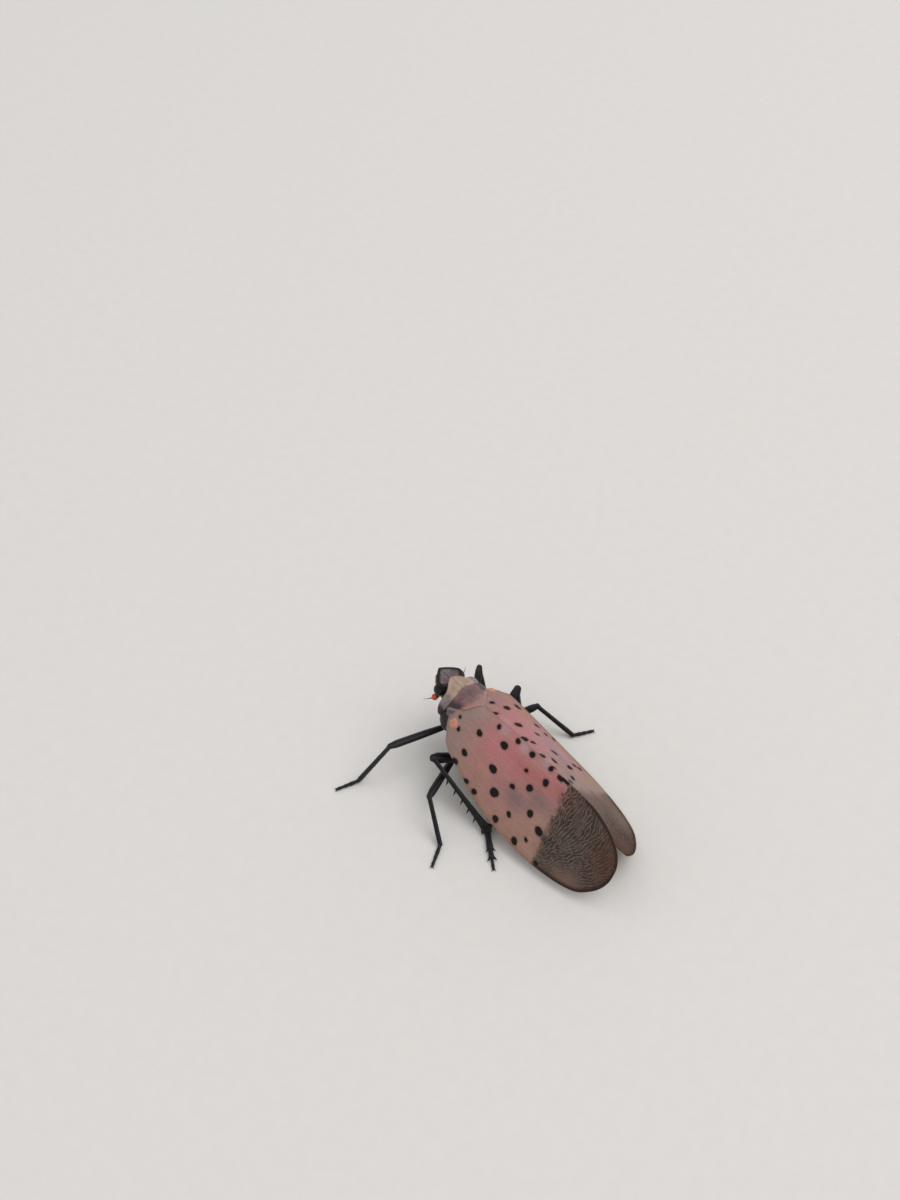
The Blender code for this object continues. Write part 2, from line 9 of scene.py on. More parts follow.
import bmesh
import bpy
import numpy as np
from mathutils import Matrix, Vector


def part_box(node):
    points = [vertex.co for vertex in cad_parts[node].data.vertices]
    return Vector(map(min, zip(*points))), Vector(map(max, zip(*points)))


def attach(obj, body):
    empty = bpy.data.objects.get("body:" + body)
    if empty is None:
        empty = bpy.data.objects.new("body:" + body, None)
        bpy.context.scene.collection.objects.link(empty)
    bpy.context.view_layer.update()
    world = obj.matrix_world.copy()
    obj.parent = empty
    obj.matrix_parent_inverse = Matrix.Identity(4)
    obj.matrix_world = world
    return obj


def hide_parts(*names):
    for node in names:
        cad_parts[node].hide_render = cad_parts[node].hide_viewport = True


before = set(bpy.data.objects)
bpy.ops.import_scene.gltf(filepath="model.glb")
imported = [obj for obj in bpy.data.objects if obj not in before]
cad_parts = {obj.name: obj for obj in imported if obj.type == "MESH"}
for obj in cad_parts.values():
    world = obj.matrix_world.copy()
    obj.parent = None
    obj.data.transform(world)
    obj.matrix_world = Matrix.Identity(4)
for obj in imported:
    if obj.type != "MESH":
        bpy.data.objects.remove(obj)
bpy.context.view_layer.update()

MM = 0.001
TURN = 2 * math.pi
UP = np.array((0.0, 0.0, 1.0))
LEVEL = np.array((1.0, 1.0, 0.0))
SIDES = ((1, "left"), (-1, "right"))

# Body, as in the solids
WING_LENGTH = 20.0
HEAD_APEX = -10.9
HEAD_BACK = -8.85
CROWN_MIDDLE = -9.6
CROWN_TOP = 8.06
COLLAR_FRONT = -9.3
COLLAR_BACK = -7.5
COLLAR_HALF_WIDTH = 2.36
COLLAR_TOP = 8.1
COLLAR_BOTTOM = 4.6
SHIELD_FRONT = -7.85
SHIELD_TIP = -5.05
SHIELD_HALF_WIDTH = 1.9
SHIELD_TOP = 8.1
SHIELD_THICKNESS = 0.14
EYE_CENTRE = np.array((1.1, -9.6, 7.05))
EYE_RADII = np.array((0.52, 0.56, 0.62))
TEGULA_REACH = 0.52
ABDOMEN_RINGS = 8

# Forewings
RIDGE_HEIGHT = 8.3
RIDGE_CLEAR = 0.14
BASE_SLOPES = (17.8, 79.6)
SLOPE_SPAN = 8.0
WING_THICKNESS = 0.1
ROOT_Y = -7.35
ROOT_DIP = 0.5
SHOULDER = 0.5
TIP_STATIONS = (17.6, 19.0, 19.5, 19.8, 19.94, WING_LENGTH)
NET_START = 13.35
NET_STEP = 0.26
NET_CELL = 0.8
NET_FORKS = 130
NET_RELIEF = 0.035
NET_SEED = 23
VEIN_RELIEF = 0.02
MAIN_VEINS = (0.1, 0.26, 0.43, 0.6, 0.78, 0.93)
WING_COLUMNS = 128
HINDWING_DROP = 0.6

# Legs; a foot has the shares, heights and radii of its three joints
TIBIA_SPINES = (0.3, 0.44, 0.57, 0.69, 0.81)
CROWN_SPINES = 8
CROWN_SPINE_LENGTH = 0.6
CLAW_REACH = 0.3
FOOT = ((0.0, 0.42, 0.66, 1.0), (0.25, 0.19, 0.18, 0.17), (0.17, 0.16, 0.14))
HIND_FOOT = ((0.0, 0.5, 0.74, 1.0), (0.34, 0.31, 0.26, 0.16), (0.28, 0.23, 0.13))
LIMB_UP = (0.13, 0.21, 1.0)
BRISTLE_LENGTH = 0.16

# The camera stands where the photograph was taken from
CAMERA_EYE = (43.211, 45.977, 102.109)
CAMERA_TARGET = (-7.881, -18.522, 4.0)
CAMERA_ROLL = -4.584
CAMERA_LENS = 40.8

# Metres
KEY_LIGHT = (-0.36, 0.3, 0.9)
FLOOR_HALF = 2.5

collar_low, collar_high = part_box("pronotum")
SLIDE = np.array(((collar_low.x + collar_high.x) / 2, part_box("head")[0].y - HEAD_APEX * MM, 0))


def place(points):
    """Turn millimetres on the insect's own mid-plane into metres of the row frame."""
    return np.asarray(points, float) * MM + SLIDE


def lerp(a, b, t):
    return a + (b - a) * t


def ease(start, end, at):
    """A share that grows from 0 at start to 1 at end, which may lie on either side of start."""
    t = np.clip((at - start) / (end - start), 0, 1)
    return t * t * (3 - 2 * t)


def bell(distance):
    return np.exp(-(distance**2))


def unit(vector):
    return vector / np.linalg.norm(vector, axis=-1, keepdims=True)


def join(x, y, z):
    """Points from coordinates that may each be a row, a column or a full grid."""
    return np.stack(np.broadcast_arrays(x, y, z), -1)


def turns(columns, shift=0):
    """The angles of a ring, as one row."""
    return (TURN * (np.arange(columns) + shift) / columns)[None]


def signed_power(value, power):
    return np.sign(value) * np.abs(value) ** power


def superellipse(width, height, power, columns):
    angle = turns(columns, 0.5)
    return width * signed_power(np.cos(angle), 2 / power), height * signed_power(np.sin(angle), 2 / power)


def smooth_steps(stations, values, at):
    """Read values between stations along a smooth curve that never overshoots them."""
    stations, values = np.asarray(stations, float), np.asarray(values, float)
    steps = np.diff(stations)
    slopes = np.diff(values) / steps
    before, after = slopes[:-1], slopes[1:]
    agree = before * after > 0
    inner = np.where(agree, 2 * before * after / np.where(agree, before + after, 1), 0)
    tangents = np.concatenate([slopes[:1], inner, slopes[-1:]])
    at = np.clip(at, stations[0], stations[-1])
    i = np.clip(np.searchsorted(stations, at, side="right") - 1, 0, len(steps) - 1)
    t = (at - stations[i]) / steps[i]
    bend = t * (t - 1) * ((t - 1) * tangents[i] + t * tangents[i + 1])
    return lerp(values[i], values[i + 1], t * t * (3 - 2 * t)) + steps[i] * bend


def read_tables(stations, at, *tables):
    return [smooth_steps(stations, values, at) for values in tables]


def smooth_path(knots, sizes, count):
    """A path through knots, its radii, and the share of the way at each of count places."""
    steps, run = np.linspace(0, 1, len(knots)), np.linspace(0, 1, count)
    return np.stack(read_tables(steps, run, *zip(*knots)), -1), smooth_steps(steps, sizes, run), run


def ripples(x, y, size, seed, waves=7):
    """Gentle noise, mostly between -1 and 1, from crossed waves that are about size long."""
    draw = np.random.default_rng(seed)
    total = np.zeros(np.broadcast(x, y).shape)
    for _ in range(waves):
        angle, phase = draw.uniform(0, TURN, 2)
        length = size * draw.uniform(0.7, 1.5)
        total += np.sin((x * math.cos(angle) + y * math.sin(angle)) * TURN / length + phase)
    return total / math.sqrt(waves)


def net_of_veins(along, across, seed):
    """Distance to a wavy forking vein and to a joint between veins, and a random share per cell."""
    draw = np.random.default_rng(seed)
    table = draw.random((64, 64, 2))
    lean = along + 0.1 * across + 0.055 * across**2
    phase = lean / NET_STEP + 0.36 * ripples(along, across, 1.5, seed + 1)
    phase += 0.15 * ripples(along, across, 0.6, seed + 2)
    for k in range(NET_FORKS):
        a, t = draw.uniform(NET_START - 1, WING_LENGTH), draw.uniform(0, 8.4)
        phase += (-1) ** k * np.arctan2(across - t, along - a) / TURN
    wave = np.exp(1j * TURN * phase)
    slopes = [np.gradient(wave, axis=k) / np.gradient(at, axis=k) for k, at in enumerate((along, across))]
    steep = np.hypot(*np.abs(slopes)) / TURN
    row = np.floor(phase)
    vein = (0.5 - np.abs(phase - row - 0.5)) / np.clip(steep, 1.8, 9)
    row = row.astype(int) % 64
    run = (across + 0.25 * ripples(along, across, 0.8, seed + 3)) / NET_CELL + table[row, 0, 0] * 7
    column = np.floor(run)
    joint = (0.5 - np.abs(run - column - 0.5)) * NET_CELL
    return vein, joint, table[row, column.astype(int) % 64, 1]


def add_object(name, data):
    made = bpy.data.objects.new(name, data)
    bpy.context.scene.collection.objects.link(made)
    return made


def make_piece(name, points, faces, look, nodes=(), facts=None):
    """Add a mesh from millimetres, turn its faces outward and let it ride on the body."""
    mesh = bpy.data.meshes.new(name)
    mesh.from_pydata(place(points).tolist(), [], faces)
    for fact, values in (facts or {}).items():
        layer = mesh.attributes.new(fact, "FLOAT", "POINT")
        layer.data.foreach_set("value", np.asarray(values, np.float32))
    work = bmesh.new()
    work.from_mesh(mesh)
    bmesh.ops.recalc_face_normals(work, faces=work.faces)
    work.to_mesh(mesh)
    work.free()
    mesh.shade_smooth()
    mesh.materials.append(look)
    piece = add_object(name, mesh)
    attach(piece, "root")
    if nodes:
        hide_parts(*nodes)
    return piece


def make_skin(node, points, faces, look, facts):
    """The skin that takes the place of one solid: eye_skin_left for eye_left."""
    kind, *word = node.split("_")
    make_piece("_".join((kind, "skin", *word)), points, faces, look, [node], facts)


def grid_faces(rows, columns, first=0, round_about=False):
    r, c = np.meshgrid(np.arange(rows - 1), np.arange(columns - (not round_about)), indexing="ij")
    a = first + r * columns + c
    b = first + r * columns + (c + 1) % columns
    return np.stack([a, b, b + columns, a + columns], -1).reshape(-1, 4).tolist()


def make_sheet(node, top, under, look, facts, fade=1):
    """A thin closed sheet from two grids; its dark facts are paler underneath by the share fade."""
    rows, columns = top.shape[:2]
    back = rows * columns
    grid = np.arange(back).reshape(rows, columns)
    rim = np.concatenate([grid[0], grid[1:, -1], grid[-1, -2::-1], grid[-2:0:-1, 0]]).tolist()
    faces = grid_faces(rows, columns) + [face[::-1] for face in grid_faces(rows, columns, back)]
    faces += [[b, a, back + a, back + b] for a, b in zip(rim, rim[1:] + rim[:1])]
    both = {}
    for fact, values in facts.items():
        values = np.broadcast_to(values, (rows, columns)).ravel()
        both[fact] = np.append(values, values * (fade if fact in ("dark", "net", "rim") else 1))
    points = np.concatenate([top.reshape(-1, 3), under.reshape(-1, 3)])
    make_skin(node, points, faces, look, both)


def loft_faces(rows, columns):
    """The faces of a closed loft, whose two end points follow its grid of points."""
    faces = grid_faces(rows, columns, round_about=True)
    tip, last = rows * columns, (rows - 1) * columns
    for k in range(columns):
        after = (k + 1) % columns
        faces += [[after, k, tip], [last + k, last + after, tip + 1]]
    return faces


def loft_points(rings):
    return np.concatenate([rings.reshape(-1, 3), rings[0].mean(0)[None], rings[-1].mean(0)[None]])


def make_loft(node, rings, look, facts=None):
    ends = {}
    for fact, values in (facts or {}).items():
        values = np.broadcast_to(values, rings.shape[:2])
        ends[fact] = np.append(values, (values[0].mean(), values[-1].mean()))
    make_skin(node, loft_points(rings), loft_faces(*rings.shape[:2]), look, ends)


def rgb(red, green, blue):
    """A colour written as it looks on screen, from 0 to 255, in Blender's linear light."""
    def linear(value):
        value /= 255
        return value / 12.92 if value <= 0.04045 else ((value + 0.055) / 1.055) ** 2.4
    return (linear(red), linear(green), linear(blue), 1)


class Look:
    """A material, with short ways to add its nodes."""

    SOCKETS = {
        "roughness": "Roughness", "specular": "Specular IOR Level", "coat": "Coat Weight",
        "sheen": "Sheen Weight", "sheen_roughness": "Sheen Roughness", "sheen_tint": "Sheen Tint",
    }

    def __init__(self, name, **constants):
        self.material = bpy.data.materials.new(name)
        self.material.use_nodes = True
        self.tree = self.material.node_tree
        self.shader = self.tree.nodes["Principled BSDF"]
        for constant, value in constants.items():
            self.shader.inputs[self.SOCKETS[constant]].default_value = value

    def node(self, kind, inputs=(), **settings):
        made = self.tree.nodes.new(kind)
        for setting, value in settings.items():
            setattr(made, setting, value)
        for socket, value in dict(inputs).items():
            self.feed(made.inputs[socket], value)
        return made

    def feed(self, socket, value):
        if isinstance(value, bpy.types.NodeSocket):
            self.tree.links.new(value, socket)
        else:
            socket.default_value = value

    def fact(self, name):
        return self.node("ShaderNodeAttribute", attribute_name=name).outputs["Fac"]

    def wing_spot(self):
        """Places on the wing's own surface, in metres so that they match the object's."""
        both = [self.math("MULTIPLY", self.fact(name), MM) for name in ("along", "across")]
        return self.node("ShaderNodeCombineXYZ", {0: both[0], 1: both[1]}).outputs[0]

    def math(self, operation, a, b):
        return self.node("ShaderNodeMath", {0: a, 1: b}, operation=operation).outputs[0]

    def scaled(self, size, where, stretch):
        """Inputs of a texture with lumps of about size millimetres."""
        where = where or self.node("ShaderNodeTexCoord").outputs["Object"]
        vector = self.node("ShaderNodeMapping", {"Vector": where, "Scale": stretch}).outputs[0]
        return {"Vector": vector, "Scale": 1 / (size * MM)}

    def noise(self, size, detail=3, where=None, stretch=(1, 1, 1)):
        """Cloudy noise from 0 to 1."""
        inputs = {**self.scaled(size, where, stretch), "Detail": detail, "Roughness": 0.55}
        return self.node("ShaderNodeTexNoise", inputs).outputs["Fac"]

    def cells(self, size, where=None, feature="F1", stretch=(1, 1, 1)):
        inputs = self.scaled(size, where, stretch)
        return self.node("ShaderNodeTexVoronoi", inputs, feature=feature).outputs["Distance"]

    def span(self, value, low, high, to_low=0, to_high=1):
        inputs = {"Value": value, "From Min": low, "From Max": high, "To Min": to_low, "To Max": to_high}
        made = self.node("ShaderNodeMapRange", inputs, interpolation_type="SMOOTHSTEP")
        return made.outputs["Result"]

    def mix(self, amount, a, b):
        made = self.node("ShaderNodeMix", {0: amount, 6: a, 7: b}, data_type="RGBA")
        return made.outputs[2]

    def blend(self, value, low, high, first, second):
        """One colour that turns into another as value goes from low to high."""
        return self.mix(self.span(value, low, high), rgb(*first), rgb(*second))

    def base(self, *blend):
        self.colour = self.blend(*blend)

    def lay(self, amount, over):
        self.colour = self.mix(amount, self.colour, over)

    def veil(self, value, low, high, share, over):
        """Lay a colour over the rest, up to share, as value goes from low to high."""
        self.lay(self.span(value, low, high, 0, share), rgb(*over))

    def paint(self, **areas):
        """Lay each colour over the rest by the share that the fact of its name gives."""
        for name, over in areas.items():
            self.lay(self.fact(name), rgb(*over))

    def bump(self, *layers):
        """Stack (height, depth in millimetres) pairs of relief."""
        normal = None
        for height, depth in layers:
            inputs = {"Height": height, "Distance": depth * MM, "Strength": 1}
            if normal is not None:
                inputs["Normal"] = normal
            normal = self.node("ShaderNodeBump", inputs).outputs["Normal"]
        self.feed(self.shader.inputs["Normal"], normal)

    def finish(self, grain, smooth, rough, *layers, low=0.2):
        """Set the colour, a roughness that follows the grain, and the relief."""
        self.feed(self.shader.inputs["Base Color"], self.colour)
        self.feed(self.shader.inputs["Roughness"], self.span(grain, low, 0.8, smooth, rough))
        self.bump(*layers)
        return self.material


def forewing_look(word):
    """Pinkish tan leather, black spots and a dark netted tip; the right wing has more sheen and paler,
    painted sheen colours.
    """
    sheen, specular = (0.05, 0.2) if word == "left" else (0.2, 0.04)
    look = Look("forewing_leather_" + word, sheen=sheen, specular=specular,
                sheen_roughness=0.35, sheen_tint=rgb(230, 192, 202))
    where = look.wing_spot()
    cloud = look.noise(1.6, 4, where)
    grain = look.noise(0.22, 4, where, stretch=(1, 1.4, 1))
    mesh = look.cells(0.34, where, "DISTANCE_TO_EDGE", stretch=(0.55, 1, 1))
    look.base(cloud, 0.3, 0.7, (174, 136, 119), (160, 124, 112))
    # On the right wing pale and sand also lay painted sheen, set in wing_facts
    look.paint(pink=(189, 120, 122), red=(182, 94, 95), grey=(128, 106, 108),
               pale=(178, 152, 158), rust=(134, 100, 80), sand=(154, 137, 124))
    look.veil(mesh, 0.12, 0, 0.12, (190, 150, 140))
    look.veil(look.fact("vein"), 0.16, 0.04, 0.16, (190, 136, 122))
    look.veil(grain, 0.35, 0.75, 0.18, (120, 84, 80))
    look.paint(root=(136, 118, 118))
    net_dark = look.blend(cloud, 0.3, 0.7, (68, 58, 54), (50, 42, 40))
    net_dark = look.mix(look.fact("maroon"), net_dark, rgb(82, 45, 41))
    net_dark = look.mix(look.fact("brown"), net_dark, rgb(74, 48, 37))
    look.lay(look.fact("dark"), net_dark)
    joint = look.span(look.fact("joint"), 0.06, 0, 0, 0.35)
    wall = look.math("MAXIMUM", look.span(look.fact("wall"), 0.125, 0), joint)
    wall = look.math("MULTIPLY", wall, look.fact("net"))
    wall = look.math("MULTIPLY", wall, look.span(look.noise(0.45, 2, where), 0.32, 0.62, 0.3, 0.9))
    look.lay(wall, look.mix(look.fact("brown"), rgb(121, 105, 93), rgb(104, 77, 58)))
    look.paint(rim=(52, 35, 29))
    spot = look.math("ADD", look.fact("spot"), look.span(grain, 0.2, 0.8, -0.022, 0.022))
    look.veil(spot, 0.22, 0, 0.35, (104, 66, 62))
    look.lay(look.span(spot, 0.06, -0.05), look.blend(grain, 0.3, 0.8, (10, 6, 7), (24, 15, 17)))
    fine = look.noise(0.07, 2, where)
    return look.finish(grain, 0.42, 0.62, (mesh, 0.02), (grain, 0.03), (fine, 0.008))


def hindwing_look():
    """Scarlet with black spots at the root, then a white band and a black outer end."""
    look = Look("hindwing_membrane", sheen=0.1)
    grain = look.noise(0.3)
    look.base(grain, 0.3, 0.7, (196, 38, 30), (160, 24, 22))
    look.paint(band=(222, 214, 204), black=(24, 19, 20))
    return look.finish(grain, 0.4, 0.6, (grain, 0.02), (look.noise(0.08, 2), 0.01))


def head_look():
    """Grey to mauve crown inside a black rim, with a dark wrinkled face below."""
    look = Look("head_shell", specular=0.22)
    cloud, grain = look.noise(0.45, 4), look.noise(0.1, 4)
    look.base(cloud, 0.35, 0.65, (96, 85, 90), (132, 121, 122))
    look.paint(blush=(112, 82, 89))
    look.veil(look.noise(0.7, 2), 0.5, 0.72, 0.4, (96, 84, 92))
    face = look.blend(grain, 0.3, 0.75, (17, 14, 16), (38, 32, 34))
    look.colour = look.mix(look.fact("crown"), face, look.colour)
    look.paint(keel=(15, 12, 14))
    look.veil(grain, 0.55, 0.8, 0.3, (60, 50, 52))
    return look.finish(grain, 0.38, 0.6, (cloud, 0.05), (grain, 0.03), (look.cells(0.09), 0.012))


def eye_look():
    look = Look("eye_facets", coat=0.05, specular=0.3)
    facets, cloud = look.cells(0.045), look.noise(0.3, 2)
    look.base(cloud, 0.35, 0.7, (8, 6, 7), (20, 14, 16))
    look.veil(facets, 0.7, 0.2, 0.3, (34, 26, 28))
    return look.finish(cloud, 0.22, 0.34, (facets, 0.008))


def antenna_look():
    """Orange red, with the paler pimples of the swollen second joint and a dark bristle."""
    look = Look("antenna_shell", specular=0.45)
    pimples = look.cells(0.08)
    look.base(look.noise(0.35), 0.35, 0.7, (214, 74, 40), (232, 108, 58))
    look.veil(pimples, 0.6, 0.1, 0.5, (244, 150, 96))
    look.paint(bristle=(60, 30, 24))
    return look.finish(pimples, 0.36, 0.55, (pimples, 0.03), (look.noise(0.06, 2), 0.01), low=0)


def collar_look():
    """Tan in the middle with a dark median line and grey lobes; painted shade darkens the middle of its
    hind edge and blackens its lower side and lateral ends.
    """
    look = Look("collar_shell", specular=0.35, sheen=0.1)
    cloud, grain = look.noise(0.8, 4), look.noise(0.12, 4)
    look.base(cloud, 0.35, 0.7, (186, 157, 137), (163, 141, 126))
    look.lay(look.fact("lobe"), look.blend(cloud, 0.35, 0.7, (142, 130, 128), (116, 104, 104)))
    look.veil(look.noise(0.4), 0.56, 0.7, 0.6, (146, 112, 92))
    look.paint(keel=(98, 74, 70), hem=(190, 180, 172), under=(34, 29, 30))
    look.veil(grain, 0.5, 0.8, 0.35, (92, 76, 72))
    return look.finish(grain, 0.45, 0.65, (cloud, 0.05), (grain, 0.03), (look.cells(0.1), 0.01))


def shield_look():
    """Dark maroon, darker at its front corners, with orange brown lines towards the tip."""
    look = Look("shield_shell", specular=0.35, sheen=0.08)
    cloud, grain = look.noise(0.7, 4), look.noise(0.11, 4)
    look.base(cloud, 0.3, 0.7, (134, 102, 102), (108, 80, 84))
    look.paint(corner=(60, 42, 47), rear=(172, 134, 122), line=(200, 128, 98),
               side=(112, 98, 100), hem=(156, 141, 140))
    look.veil(grain, 0.5, 0.8, 0.4, (72, 52, 54))
    return look.finish(grain, 0.42, 0.62, (cloud, 0.04), (grain, 0.03), (look.cells(0.09), 0.01))


def thorax_look():
    look = Look("thorax_shell", specular=0.4)
    cloud, grain = look.noise(0.8, 4), look.noise(0.13, 4)
    look.base(cloud, 0.35, 0.65, (26, 22, 23), (60, 51, 51))
    look.veil(look.noise(1.3, 2), 0.6, 0.75, 0.35, (128, 98, 72))
    return look.finish(grain, 0.4, 0.65, (cloud, 0.08), (grain, 0.04))


def tegula_look():
    look = Look("tegula_shell", specular=0.4)
    cloud, grain = look.noise(0.35), look.noise(0.09, 4)
    look.base(cloud, 0.35, 0.7, (206, 146, 120), (194, 124, 96))
    look.veil(grain, 0.5, 0.8, 0.3, (150, 90, 66))
    look.paint(edge=(142, 116, 106))
    return look.finish(grain, 0.42, 0.6, (cloud, 0.04), (grain, 0.025))


def abdomen_look():
    """Yellow rings with a black band across each, dusted with white wax."""
    look = Look("abdomen_rings", specular=0.4)
    cloud, grain = look.noise(0.9), look.noise(0.12, 4)
    look.base(cloud, 0.3, 0.7, (214, 168, 52), (196, 136, 40))
    look.paint(band=(28, 23, 22))
    look.veil(look.noise(0.3, 4), 0.55, 0.75, 0.5, (226, 220, 206))
    return look.finish(grain, 0.38, 0.6, (cloud, 0.05), (grain, 0.03))


def leg_look():
    """Near black shell with a painted grey highlight along its ridges, and browner joints."""
    look = Look("leg_shell", specular=0.28)
    cloud, grain = look.noise(0.8), look.noise(0.07, 4)
    look.base(cloud, 0.35, 0.7, (11, 9, 10), (24, 21, 23))
    look.paint(ridge=(70, 66, 76), joint=(48, 34, 30))
    look.veil(grain, 0.52, 0.8, 0.25, (70, 66, 70))
    return look.finish(grain, 0.34, 0.56, (cloud, 0.02), (grain, 0.02))


def bristle_look():
    look = Look("bristle_shell", specular=0.4)
    cloud = look.noise(0.5, 2)
    look.base(cloud, 0.3, 0.7, (40, 34, 34), (88, 78, 74))
    return look.finish(cloud, 0.4, 0.6, (look.noise(0.03, 1), 0.004))


def tipward(along):
    """A share of the wing that runs ever faster towards the tip, so that outlines end round."""
    return 1 - np.sqrt(np.clip(1 - np.asarray(along) / WING_LENGTH, 0, 1))


class Wing:
    """The outer face of one folded forewing.

    tip_slopes are those of the ridge and the leading edge at the tip, which settle flattens, and
    tip_widths say where the hind edge runs from the middle of the wing to the tip.
    """

    def __init__(self, side, start, tip_slopes, settle, tip_widths, tegula, oval, spots):
        self.side, self.word = side, "left" if side > 0 else "right"
        self.start, self.tip_widths, self.tegula = start, tip_widths, tegula
        self.slopes, self.settle = np.radians((BASE_SLOPES, tip_slopes)), math.radians(settle)
        self.oval, self.spots = oval, spots

    def profile(self, along, across, settle):
        """Sideways and downward run from the ridge, and the slope, at one place."""
        share = along / WING_LENGTH
        ridge, edge = (lerp(base, tip, share) for base, tip in zip(*self.slopes))
        start = ridge - settle * ease(0.58, 0.95, share)
        turn = (edge - start) / SLOPE_SPAN
        slope = start + turn * across
        return (np.sin(slope) - np.sin(start)) / turn, (np.cos(slope) - np.cos(start)) / turn, slope

    def point(self, along, across, lift=0):
        """Places in space, raised by lift; a tip that settles leaves its leading edge in place."""
        out, rise, slope = self.profile(along, across, self.settle)
        before = self.profile(along, SLOPE_SPAN, 0)
        after = self.profile(along, SLOPE_SPAN, self.settle)
        clear = RIDGE_CLEAR * (1 - 0.9 * ease(1.2, 0, across) * ease(2.5, 4, along))
        x = clear + out + before[0] - after[0] + lift * np.sin(slope)
        z = RIDGE_HEIGHT + 0.022 * along - 0.005 * along**2
        z = z + rise + before[1] - after[1] + lift * np.cos(slope)
        return np.stack([self.side * np.maximum(x, 0.01), self.start + along + 0.04 * across, z], -1)

    def inner_edge(self, along):
        """The hind edge: beside the shield, then along the ridge, then round the tip."""
        beside = np.array((ROOT_Y, -6.85, -6.34, -5.85, -5.4, -5.05)) - self.start
        stations = (*beside, 5, 11, 14, 16, *TIP_STATIONS)
        widths = (2.05, 1.79, 1.28, 0.72, 0.18, -0.05, *self.tip_widths)
        return smooth_steps(tipward(stations), widths, tipward(along))

    def outer_edge(self, along):
        """Distance from the ridge to the leading edge, along the wing's surface."""
        stations = (0, 1.6, 4, 8, 12, 15, *TIP_STATIONS)
        widths = (2.6, 4.4, 5.8, 7.75, 8.25, 8, 7.35, 6.2, 5.48, 4.8, 4.25, 3.55)
        return smooth_steps(tipward(stations), widths, tipward(along))

    def rows(self):
        """Places of the rows: closer together where the net needs them."""
        root = ROOT_Y - self.start
        basal = np.arange(root, NET_START - 0.6, 0.1)
        apical = np.arange(NET_START - 0.6, WING_LENGTH - 0.6, 0.033)
        tip = WING_LENGTH - 0.6 * np.linspace(1, 0, 36) ** 2
        return np.concatenate([basal, apical, tip])

    def outline_distance(self, along, across):
        """How far each place is from the leading edge and the tip."""
        run = np.concatenate([np.linspace(ROOT_Y - self.start, 18, 160), np.linspace(18.02, 20, 100)])
        back = np.linspace(20, 15.5, 120)
        nearest = np.full(along.shape, np.inf)
        for a, t in [*zip(run, self.outer_edge(run)), *zip(back, self.inner_edge(back))]:
            nearest = np.minimum(nearest, np.hypot(along - a, across - t))
        return nearest

    def spot_distance(self, along, across):
        """How far each place is from the edge of the nearest spot; it is below 0 inside."""
        nearest = np.full(along.shape, np.inf)
        for k, (a, t, radius, *stretch) in enumerate(self.spots):
            beyond = along - a - np.clip(along - a, 0, sum(stretch))
            turn = np.arctan2(across - t, beyond)
            shape = 1 + 0.09 * np.sin(2 * turn + k) + 0.04 * np.sin(3 * turn + 2.1 * k)
            nearest = np.minimum(nearest, np.hypot(beyond, (across - t) / self.oval) - radius * shape)
        return nearest


def root_dip(past_root):
    """How far a wing sinks at its root."""
    return ROOT_DIP * ease(0.9, 0, past_root) ** 2


# Spots as (along, across, radius), row by row from the ridge to the leading edge; a fourth number
# stretches a spot towards the tip
LEFT_SPOTS = (
    (5.55, 0.5, 0.2), (7.7, 0.35, 0.23), (9.36, 0.38, 0.26), (11.4, 0.2, 0.22), (12.35, 0.24, 0.17, 0.35),
    (12.75, 0.08, 0.16, 0.55),
    (2.1, 2, 0.15), (4.4, 1.95, 0.29), (6.85, 1.35, 0.35), (9.65, 1.68, 0.19), (10.6, 2.7, 0.31),
    (11.6, 1.35, 0.31),
    (2.55, 2.9, 0.2), (4.05, 4.2, 0.3), (7, 3.6, 0.38), (9.2, 3.65, 0.25), (8, 5.25, 0.44),
    (11.6, 4.5, 0.32), (9.95, 5.95, 0.26), (12.9, 5.25, 0.38),
    (3.6, 5.45, 0.28), (5.25, 6.25, 0.25), (6.25, 6.6, 0.28), (9, 7.25, 0.33), (11.3, 7.65, 0.34),
    (12.2, 6.75, 0.2), (13.85, 7.8, 0.22),
)
RIGHT_SPOTS = (
    (3.75, 0.93, 0.16), (5, 0.15, 0.18), (8.42, 0.25, 0.28), (8.84, 1.08, 0.21), (10.52, 0.25, 0.28),
    (11.93, 0.15, 0.2), (13.5, 0.4, 0.16), (13.3, 1.3, 0.17), (13, 2.1, 0.19), (12.5, 3.15, 0.21),
    (4.57, 2.1, 0.26), (6.62, 1.47, 0.27), (7.61, 3.39, 0.2), (9.56, 3.87, 0.26), (10.82, 2.07, 0.26),
    (6.29, 5.1, 0.26), (7.19, 5.55, 0.18), (11.06, 4.77, 0.23), (10.58, 6.36, 0.2), (7.37, 6.99, 0.18),
    (4.2, 4.3, 0.28), (10.82, 7.08, 0.2),
)
LEFT_TIP = (0, 0, 0, 0.05, 0.4, 1.1, 1.65, 2.25, 2.75, 3.4)
RIGHT_TIP = (0, 0.1, 0.6, 1.2, 2, 2.6, 2.85, 3.15, 3.4, 3.55)
WINGS = (
    Wing(1, -8.3, (69.8, 47.1), 0, LEFT_TIP, (1.9, 2.8), 1, LEFT_SPOTS),
    Wing(-1, -8.85, (89, 32), 22, RIGHT_TIP, (2.1, 2.45), 1.75, RIGHT_SPOTS),
)

